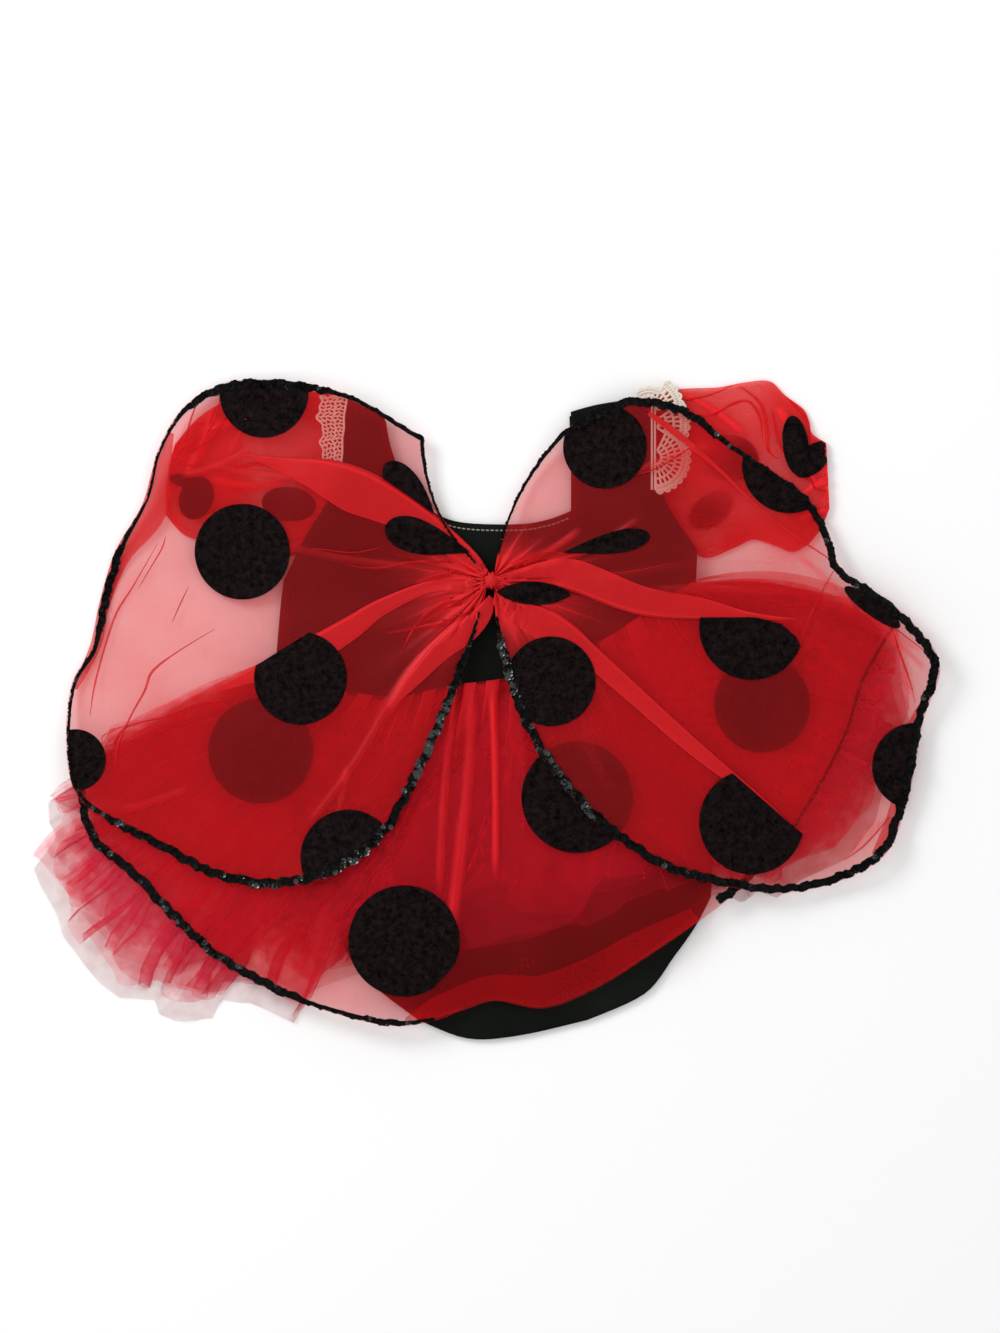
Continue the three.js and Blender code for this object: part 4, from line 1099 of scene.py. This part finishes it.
def sequin_braid(name, node, edge, inside, height, widths, seed):
    """Sequins along an edge, from points on it and points inside it. Each row of widths gives the braid's
    width and its share of glossy sequins near the place x, y, whose lighter colour is in part a painted
    reflection."""
    draws = random.Random(seed)
    edge, inside = np.array(edge), np.array(inside)
    steps = np.hypot(*np.diff(edge, axis=0).T)
    run = np.concatenate([[0], np.cumsum(steps)])
    marks = sorted(
        (run[np.argmin(np.hypot(edge[:, 0] - w["x"], edge[:, 1] - w["y"]))], w["wide"], w["gloss"])
        for w in widths
    )
    mark_runs, mark_wides, mark_gloss = zip(*marks)
    points, faces, glossy = [], [], []
    tape = []
    last = 8.0
    at = 0.0
    row = 0
    while at < run[-1]:
        on_lines = ((at, edge), (at, inside), (min(at + 2, run[-1]), edge), (max(at - 2, 0), edge))
        here, within, ahead, behind = [
            np.array([np.interp(place, run, line[:, k]) for k in (0, 1)]) for place, line in on_lines
        ]
        way = (ahead - behind) / max(np.linalg.norm(ahead - behind), 1e-6)
        side = np.array([-way[1], way[0]])
        if np.dot(side, within - here) < 0:
            side = -side
        wide = np.interp(at, mark_runs, mark_wides)
        shine = np.interp(at, mark_runs, mark_gloss)
        radius = sequin_radius if wide > 4 else max(0.8, wide * 0.46)
        # Two rows where the braid lies wide, and one where it lies narrow
        insets = (wide * 0.27, wide * 0.7) if wide > 3.4 else (wide * 0.4,)
        for inset in insets:
            slip = draws.uniform(-0.35, 0.35) + 0.13 * wide * math.sin(at / 2.1 + 2 * math.sin(at / 9))
            middle = here + side * (inset + slip) + way * draws.uniform(-0.3, 0.3)
            z = height(*(here + side * max(inset, 2.0)))
            last = last if z is None else z
            # A share of the sequins take the glossy copy with its painted reflection
            flat = draws.random() < shine
            lean = 0.05 if flat else 0.2
            tilt_x = draws.gauss(0, lean) - way[0] * lean
            tilt_y = draws.gauss(0, lean) - way[1] * lean
            normal = Vector((tilt_x, tilt_y, 1)).normalized()
            across = normal.cross(Vector((way[0], way[1], 0.0))).normalized()
            forward = across.cross(normal)
            centre = Vector((middle[0], middle[1], last + sequin_rise + 0.25 * (row % 3)))
            size = radius * draws.uniform(0.9, 1.2)
            start = len(points)
            points.append(centre - normal * cup_depth)
            for ring_radius, ring_rise in ((size * 0.5, -0.3), (size, 0.15)):
                for k in range(sequin_sides):
                    a = 2 * math.pi * k / sequin_sides
                    spoke = across * math.cos(a) * ring_radius + forward * math.sin(a) * ring_radius
                    points.append(centre + spoke + normal * ring_rise)
            inner, outer = start + 1, start + 1 + sequin_sides
            for k in range(sequin_sides):
                m = (k + 1) % sequin_sides
                faces.append((start, inner + k, inner + m))
                faces.append((inner + k, outer + k, outer + m, inner + m))
                glossy += [int(flat)] * 2
            row += 1
        tape.append(tuple(here + side * 0.3) + (last + tape_rise,))
        tape.append(tuple(here + side * wide * 0.9) + (last + tape_rise,))
        at += max(1.1, radius * 0.95)
    start = len(points)
    points += tape
    for n in range(0, len(tape) - 2, 2):
        faces.append((start + n, start + n + 1, start + n + 3, start + n + 2))
        glossy.append(0)
    made = mesh_object(name, points, faces, dull_sequin, smooth=False)
    made.data.materials.append(glossy_sequin_painted_reflection)
    made.data.polygons.foreach_set("material_index", glossy)
    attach(made, "root")
    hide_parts(node)
    return made


def skirt_edge(low, high, v):
    """A line across the overskirt from place low to place high in its waist seam, at v of its length."""
    x, y = skirt_place(np.linspace(low, high, 200), v)
    return list(zip(x.tolist(), y.tolist()))


skirt_height = surface_of(skirt)
skirt_widths = table(
    "x y wide gloss",
    (-265, -51, 4.0, 0.03), (-220, -120, 6.0, 0.03), (-180, -158, 4.2, 0.2), (-150, -178, 5.2, 0.03),
    (-110, -193, 3.0, 0.03), (-60, -204, 3.6, 0.03), (150, -130, 4.4, 0.03), (178, -104, 3.6, 0.03),
    (205, -65, 2.0, 0.2), (265, 55, 2.0, 0.03),
)
for side, low, high, seed in (("left", 0.0, 0.44, 51), ("right", 0.745, 1.0, 52)):
    edge, inside = skirt_edge(low, high, 0.998), skirt_edge(low, high, 0.9)
    name, node = f"overskirt_sequins_{side}", f"overskirt_braid_{side}"
    sequin_braid(name, node, edge, inside, skirt_height, skirt_widths, seed)

# Wings: each a large fan of spotted organza, gathered at one end to the tack and edged all round with
# sequin braid. They lie over the skirt in creases and a few laid folds, where the cloth is threefold.
tack = (3.0, 83.0)
wing_left = table(
    "x y bow lift",
    (-40, 176, 11, 3), (-57, 186, 8, 1), (-75, 197, 3, 1), (-96, 206, 0, 2), (-130, 213, 0, 1),
    (-168, 212, 0, 0), (-196, 196, 0, 1), (-213, 167, 2, 2), (-221, 137, 2, 0), (-240, 103, 3, 2),
    (-250, 70, 3, 0), (-256, 40, 4, 2), (-269, 16, 4, 0), (-272, -20, 4, 1), (-266, -54, 4, 0),
    (-243, -74, 4, 2), (-213, -90, 4, 0), (-180, -108, 4, 1), (-145, -116, 5, 0), (-110, -111, 5, 2),
    (-82, -98, 6, 1), (-60, -76, 6, 1),
)
wing_right = table(
    "x y bow lift",
    (51, 181, 9, 3), (81, 198, 4, 1), (106, 201, 2, 2), (133, 193, 0, 0), (158, 173, 0, 1),
    (185, 155, 0, 2), (207, 139, 0, 0), (222, 115, 0, 1), (230, 91, 0, 3), (252, 76, 0, 1),
    (277, 55, -2, 2), (294, 28, -3, 4), (284, -6, -3, 1), (278, -38, -4, 3), (271, -68, -5, 1),
    (258, -95, -6, 2), (228, -112, -8, 0), (191, -119, -11, 1), (152, -114, -14, 0), (116, -104, -17, 1),
    (82, -82, -21, 1),
)
creases_left = table(
    "x1 y1 x2 y2 high wide bend dense open",
    (-40, 92, -150, 112, 1.2, 2.2, 4, 0.2, 0.3), (-18, 54, -62, 0, 1.8, 3.2, -5, 0.8, 0.5),
    (-60, 10, -120, -80, 1.4, 2.2, 4, 0.25, 0), (-90, -30, -105, -100, 1.2, 1.8, 3, 0.2, 0),
    (-150, 170, -200, 150, 1.0, 1.8, 2, 0.4, 0), (-96, 150, -180, 158, 1.0, 2.0, 3, 0.3, 0),
    (-190, -50, -240, -66, 1.0, 2.0, 2, 0.2, 0),
)
creases_right = table(
    "x1 y1 x2 y2 high wide bend dense open",
    (14, 92, 60, 116, 1.6, 2.0, -3, 0.5, 0.4), (20, 88, 100, 124, 1.2, 2.0, -5, 0.3, 0.3),
    (70, 82, 200, 92, 0.8, 3.0, 5, 0.04, 0), (98, 76, 206, 74, 1.0, 2.4, 3, 0.2, 0),
    (150, 62, 240, 42, 1.0, 2.8, 5, 0.05, 0), (226, 92, 200, 30, 1.0, 2.2, 6, 0.12, 0),
    (120, 14, 230, -46, 0.7, 3.4, -8, 0.02, 0), (36, 60, 86, -14, 0.9, 2.6, 6, 0.1, 0),
    (60, -10, 120, -92, 0.8, 3.0, -7, 0.04, 0), (200, 100, 240, 60, 1.2, 1.8, 3, 0.4, 0),
    (255, 50, 285, 24, 1.4, 1.6, 2, 0.5, 0), (238, 70, 284, 36, 1.2, 1.6, -2, 0.5, 0),
    (262, 52, 276, 6, 1.2, 1.5, 2, 0.5, 0), (214, 36, 268, -16, 0.9, 2.4, 6, 0.1, 0),
    (236, -96, 262, -70, 1.2, 1.6, 2, 0.5, 0), (90, 150, 150, 172, 1.0, 2.0, 2, 0.3, 0),
    (106, 174, 216, 90, 0.3, 13, 3, 0.4, 0),
)


under_wings = piled([back_panel, skirt])


def wing_place(gathers, side, u, v):
    """Where a point of a wing lies, from its gather u and how far out it is, v."""
    hx, hy, bow = along(gathers, ["x", "y", "bow"], u)
    start_x = tack[0] + side * 2.5
    start_y = tack[1] + 4.5 - 9.0 * u
    return bowed(start_x, start_y, hx, hy, bow, v)


def make_wing(name, gathers, side, creases, folds, pinches, turned_in, seed):
    """A wing's sheet with its laid folds and the stretches of its edge that are turned in."""
    lie = top_of(name)
    u, v = grid(560, 140)
    # Rows are closer together near the gathers
    v = v**1.2
    pleats, fine_pleats = 11, 18
    turns = pleat_count(seed, pleats, u)
    fine_turns = pleat_count(seed + 7, fine_pleats, u)
    close, closest = np.exp(-7 * v), np.exp(-22 * v)
    lap = 0.17 * close * np.sin(4 * np.pi * turns) / pleats
    lap = lap + 0.08 * closest * np.sin(4 * np.pi * fine_turns) / fine_pleats
    lapped = np.clip(u + lap, 0, 1)
    x, y = wing_place(gathers, side, lapped, v)
    pleat = (1.6 * np.exp(-7 * v) + 0.3 * np.exp(-3 * v)) * np.cos(2 * np.pi * turns)
    pleat = pleat + 0.5 * closest * np.cos(2 * np.pi * fine_turns)
    lift = along(gathers, ["lift"], u)[0] * v**4 * 0.4
    crushed = crinkles(x, y, seed, 48)
    soft = 0.7 * lumps(x, y, seed + 1, 36) + 0.4 * lumps(x, y, seed + 2, 15) * v + 0.15 * crushed
    z = lie(x, y) - 0.2 + pleat + lift + soft + creased(x, y, creases)
    z = np.maximum(z, under_wings(x, y) + 0.3 * pleat)
    sheet = np.stack([x, y, z], -1)
    gathered = 0.3 * close + 1.1 * np.exp(-((v / 0.13) ** 2))
    dense = 1 + creased(x, y, creases, "dense") + 0.05 * crushed + gathered
    flat = cloth(name + "_flat", [sheet], wing_organza)
    height = surface_of(flat)
    strips = [laid_fold(line, height, laid_over) for line in folds]
    turned = [laid_fold(line, height, turned_under) for line in turned_in]
    thin = [laid_fold(line, height, pinched) for line in pinches]
    bpy.data.objects.remove(flat)
    thick = [dense]
    for strips_of, how_dense in ((strips, 1.5), (turned, 1.5), (thin, 1.0)):
        thick += [np.full(strip.shape[:2], how_dense) for strip in strips_of]
    made = cloth(name + "_organza", [sheet] + strips + turned + thin, wing_organza, thick)
    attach(made, "root")
    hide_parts(name)
    return made


# Two more layers over the cloth, out to the folded edge and back
laid_over = [(1.0, 0.3), (0.6, 0.5), (0.2, 0.6), (0.0, 0.9), (0.15, 1.25), (0.4, 1.4), (0.7, 1.4)]
laid_over += [(0.92, 1.1), (1.0, 0.6)]
# Laid folds run from the tack outwards: the folded edge at x, y, and the width of cloth beside it
folds_left = [
    [
        (2, 89, 7), (-8, 103, 13), (-32, 125, 18), (-56, 143, 26), (-80, 156, 30), (-104, 162, 24),
        (-128, 163, 12), (-144, 164, 5), (-160, 166, 0.5),
    ],
    [
        (1, 83, 5), (-16, 86, 11), (-38, 83, 8), (-70, 71, 11), (-90, 60, 15), (-108, 50, 17),
        (-128, 39, 16), (-150, 28, 11), (-176, 12, 1),
    ],
    [(2, 74, 5), (-6, 66, 12), (-18, 56, 15), (-34, 42, 13), (-50, 22, 9), (-64, 2, 3)],
]
turned_left = [
    [
        (-206, 180, 4), (-216, 156, 12), (-224, 131, 17), (-241, 102, 11), (-251, 70, 7), (-257, 42, 7),
        (-269, 14, 4),
    ],
]
folds_right = [
    [(7, 79, 6), (38, 80, 16), (55, 76, 21), (98, 61, 19), (139, 58, 14), (170, 57, 6), (200, 58, 0.5)],
    [
        (201, -78, 0.5), (178, -56, 5), (139, -22, 10), (100, 14, 12), (70, 42, 14), (58, 54, 19),
        (42, 65, 22), (22, 72, 17), (6, 76, 8),
    ],
    [(228, 94, 0.5), (187, 123, 1.5), (150, 158, 2.5), (125, 180, 4.5), (106, 193, 3)],
]
turned_right = [[(254, -96, 5), (269, -70, 9), (276, -40, 9), (280, -12, 7), (288, 8, 3)]]
# Sharp creases in the cloth, each a narrow pleat
wing_pinched_left = [
    [(-213, 108, 0.3), (-229, 81, 0.9), (-240, 64, 1.5), (-247, 44, 1.3), (-254, 18, 1.1), (-257, -4, 0.4)],
    [
        (-176, 52, 0.3), (-201, 37, 0.8), (-217, 25, 1.8), (-222, 12, 1.4), (-231, -5, 1.2),
        (-239, -24, 1.6), (-241, -40, 0.5),
    ],
    [(-240, -23, 1.6), (-232, -12, 1.5), (-207, -5, 0.9), (-185, 3, 1.3), (-168, 6, 0.4)],
    [(-208, 112, 0.3), (-211, 104, 1.0), (-218, 92, 0.7), (-226, 78, 0.3)],
    [(-193, 80, 0.2), (-199, 68, 0.7), (-204, 56, 0.2)],
    [(-186, 204, 0.5), (-192, 188, 1.3), (-197, 170, 0.6), (-206, 158, 0.3)],
    [(-172, 206, 0.5), (-176, 190, 1.2), (-184, 174, 0.9), (-188, 160, 0.3)],
    [(-22, 96, 0.8), (-48, 96, 2.6), (-72, 92, 1.6), (-92, 94, 0.4)],
    [(-60, 108, 0.3), (-84, 102, 1.0), (-112, 104, 0.7), (-138, 100, 0.3)],
    [(-4, 84, 1.5), (-18, 90, 4.0), (-34, 88, 5.0), (-46, 82, 1.5)],
    [(-4, 80, 2.0), (-16, 74, 6.0), (-30, 70, 6.0), (-44, 58, 3.0), (-56, 36, 0.8)],
    [(-8, 66, 1.5), (-28, 58, 4.5), (-44, 54, 3.0), (-64, 50, 1.0)],
]
wing_pinched_right = [
    [(10, 88, 2.0), (26, 93, 6.0), (44, 97, 5.0), (60, 100, 1.0)],
    [(10, 84, 1.5), (30, 84, 4.0), (56, 86, 2.5), (92, 88, 1.2), (128, 96, 0.4)],
    [(8, 80, 2.0), (16, 68, 5.0), (26, 54, 4.0), (42, 40, 1.0)],
    [(226, 92, 0.6), (216, 74, 0.9), (206, 52, 0.7), (200, 30, 0.4)],
    [(240, 72, 0.5), (256, 58, 1.4), (272, 46, 1.0), (288, 34, 0.4)],
    [(262, 54, 0.4), (268, 34, 1.2), (274, 18, 0.9), (278, 4, 0.4)],
    [(232, -98, 0.4), (246, -88, 1.2), (262, -70, 0.8)],
    [(92, 150, 0.4), (112, 156, 1.2), (134, 170, 0.8)],
]
left_wing = make_wing(
    "wing_left", wing_left, -1, creases_left, folds_left, wing_pinched_left, turned_left, 61
)
right_wing = make_wing(
    "wing_right", wing_right, 1, creases_right, folds_right, wing_pinched_right, turned_right, 62
)


def wing_edges(gathers, side, start):
    """The wing's edge from one side round the hem to the other, and a line just inside it."""
    v_side = np.linspace(start, 1, 120)
    u_hem = np.linspace(0, 1, 500)
    pieces = []
    for shift, reach in ((0.0, 0.997), (0.03, 0.93)):
        up = wing_place(gathers, side, np.full(120, shift), v_side * reach)
        hem = wing_place(gathers, side, np.clip(u_hem, shift, 1 - shift), np.full(500, reach))
        down = wing_place(gathers, side, np.full(120, 1 - shift), v_side[::-1] * reach)
        x, y = (np.concatenate([up[k], hem[k], down[k]]) for k in (0, 1))
        pieces.append(list(zip(x, y)))
    return pieces


left_widths = table(
    "x y wide gloss",
    (-6, 96, 0.8, 0.03), (-30, 150, 2.0, 0.03), (-40, 181, 3.2, 0.03), (-80, 200, 2.6, 0.03),
    (-130, 213, 4.4, 0.03), (-180, 206, 4.4, 0.03), (-208, 176, 1.8, 0.03), (-222, 134, 1.6, 0.03),
    (-244, 95, 4.2, 0.03), (-254, 58, 3.6, 0.03), (-270, 15, 2.2, 0.03), (-270, -40, 1.8, 0.03),
    (-255, -64, 3.0, 0.3), (-218, -90, 4.6, 0.03), (-166, -112, 5.6, 0.03), (-150, -116, 5.8, 0.3),
    (-108, -111, 5.6, 0.03), (-82, -98, 6.0, 0.45), (-62, -78, 6.0, 0.45), (-54, -66, 5.4, 0.05),
    (-46, -38, 5.8, 0.5), (-34, 6, 5.0, 0.5), (-22, 30, 4.0, 0.05), (-8, 60, 1.6, 0.03),
)
right_widths = table(
    "x y wide gloss",
    (9, 97, 1.0, 0.03), (18, 126, 1.8, 0.03), (51, 181, 3.0, 0.03), (81, 198, 4.6, 0.03),
    (130, 194, 4.2, 0.03), (165, 168, 2.8, 0.03), (207, 139, 3.4, 0.03), (229, 92, 3.8, 0.03),
    (264, 66, 4.6, 0.03), (294, 24, 5.8, 0.03), (280, -20, 4.4, 0.03), (270, -70, 5.0, 0.03),
    (243, -105, 4.4, 0.03), (191, -119, 4.2, 0.03), (139, -112, 5.2, 0.03), (87, -88, 5.2, 0.03),
    (62, -62, 5.4, 0.3), (40, -34, 5.8, 0.4), (24, -14, 5.2, 0.2), (14, 16, 5.8, 0.5), (8, 36, 4.8, 0.5),
    (6, 56, 2.0, 0.03),
)
edge, inside = wing_edges(wing_left, -1, 0.1)
sequin_braid("wing_left_sequins", "wing_left_braid", edge, inside, surface_of(left_wing), left_widths, 71)
edge, inside = wing_edges(wing_right, 1, 0.1)
sequin_braid("wing_right_sequins", "wing_right_braid", edge, inside, surface_of(right_wing), right_widths, 72)
add_spots(
    "wing_left",
    left_wing,
    [
        {"x": -144, "y": 205, "r": 29},
        {"x": -158, "y": 102, "r": 31},
        {"x": -120, "y": 20, "r": 30, "cuts": [(-130, 40, -58)]},
        {"x": -266, "y": -33, "r": 20, "cuts": [(-250, -54, 150)]},
        {"x": -89, "y": -96, "r": 31},
        {"x": -38, "y": 110, "r": 14.5, "long": 1.95, "turn": -17, "tip": 0.8},
        {"x": -49, "y": 141, "r": 12, "long": 2.0, "turn": -50, "tip": 0.6, "cuts": [(-44, 134, 55)]},
    ],
)
add_spots(
    "wing_right",
    right_wing,
    [
        {"x": 77, "y": 170, "r": 27},
        {"x": 197, "y": 158, "r": 31},
        {"x": 78, "y": 107, "r": 9.5, "long": 3.0, "turn": 191, "tip": 0.85},
        {"x": 42, "y": 18, "r": 29},
        {
            "x": 172,
            "y": 53,
            "r": 34,
            "cuts": [(172, 59.4, -90), (183, 57.2, -104), (196, 51, -132), (203, 42, -156)],
        },
        {"x": 172, "y": -73, "r": 34, "cuts": [(182, -61, 229)]},
        {"x": 278, "y": -37, "r": 28},
        {"x": 250, "y": 66, "r": 5.5, "long": 4, "turn": -36},
        {"x": 31, "y": 75, "r": 7.5, "long": 3.2, "turn": -2, "ends": 0.6},
    ],
)

# The tack: the wings' gathered ends, a bunch of organza pinched together in the middle and sewn down through
# the leotard's back. So much cloth in one place is nearly opaque.
tack_gather = 1.8
tack_low, tack_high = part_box("wing_tack")
tack_centre = (tack_low + tack_high) / 2 / metres
tack_half = (tack_high - tack_low) / 2 / metres
tack_points, tack_faces = [], []
tack_rings, tack_sides = 14, 60
for n in range(tack_rings + 1):
    rise = -1 + 2 * n / tack_rings
    girth = math.sqrt(max(0.0, 1 - abs(rise) ** 3))
    for k in range(tack_sides):
        a = 2 * math.pi * k / tack_sides
        crimp = 1 + 0.13 * math.cos(9 * a + 2.2 * rise) - 0.22 * math.exp(-((rise / 0.25) ** 2))
        tack_points.append(
            (
                tack_centre.x + tack_half.x * 1.25 * girth * crimp * math.cos(a),
                tack_centre.y + tack_half.y * 1.1 * girth * crimp * math.sin(a),
                tack_centre.z + tack_half.z * rise,
            )
        )
for n in range(tack_rings):
    for k in range(tack_sides):
        a, b = n * tack_sides + k, n * tack_sides + (k + 1) % tack_sides
        tack_faces.append((a, b, b + tack_sides, a + tack_sides))
tack_bunch = mesh_object("wing_tack_bunch", tack_points, tack_faces, wing_organza)
gather = tack_bunch.data.attributes.new("gather", "FLOAT", "POINT")
gather.data.foreach_set("value", [tack_gather] * len(tack_points))
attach(tack_bunch, "root")
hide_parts("wing_tack")
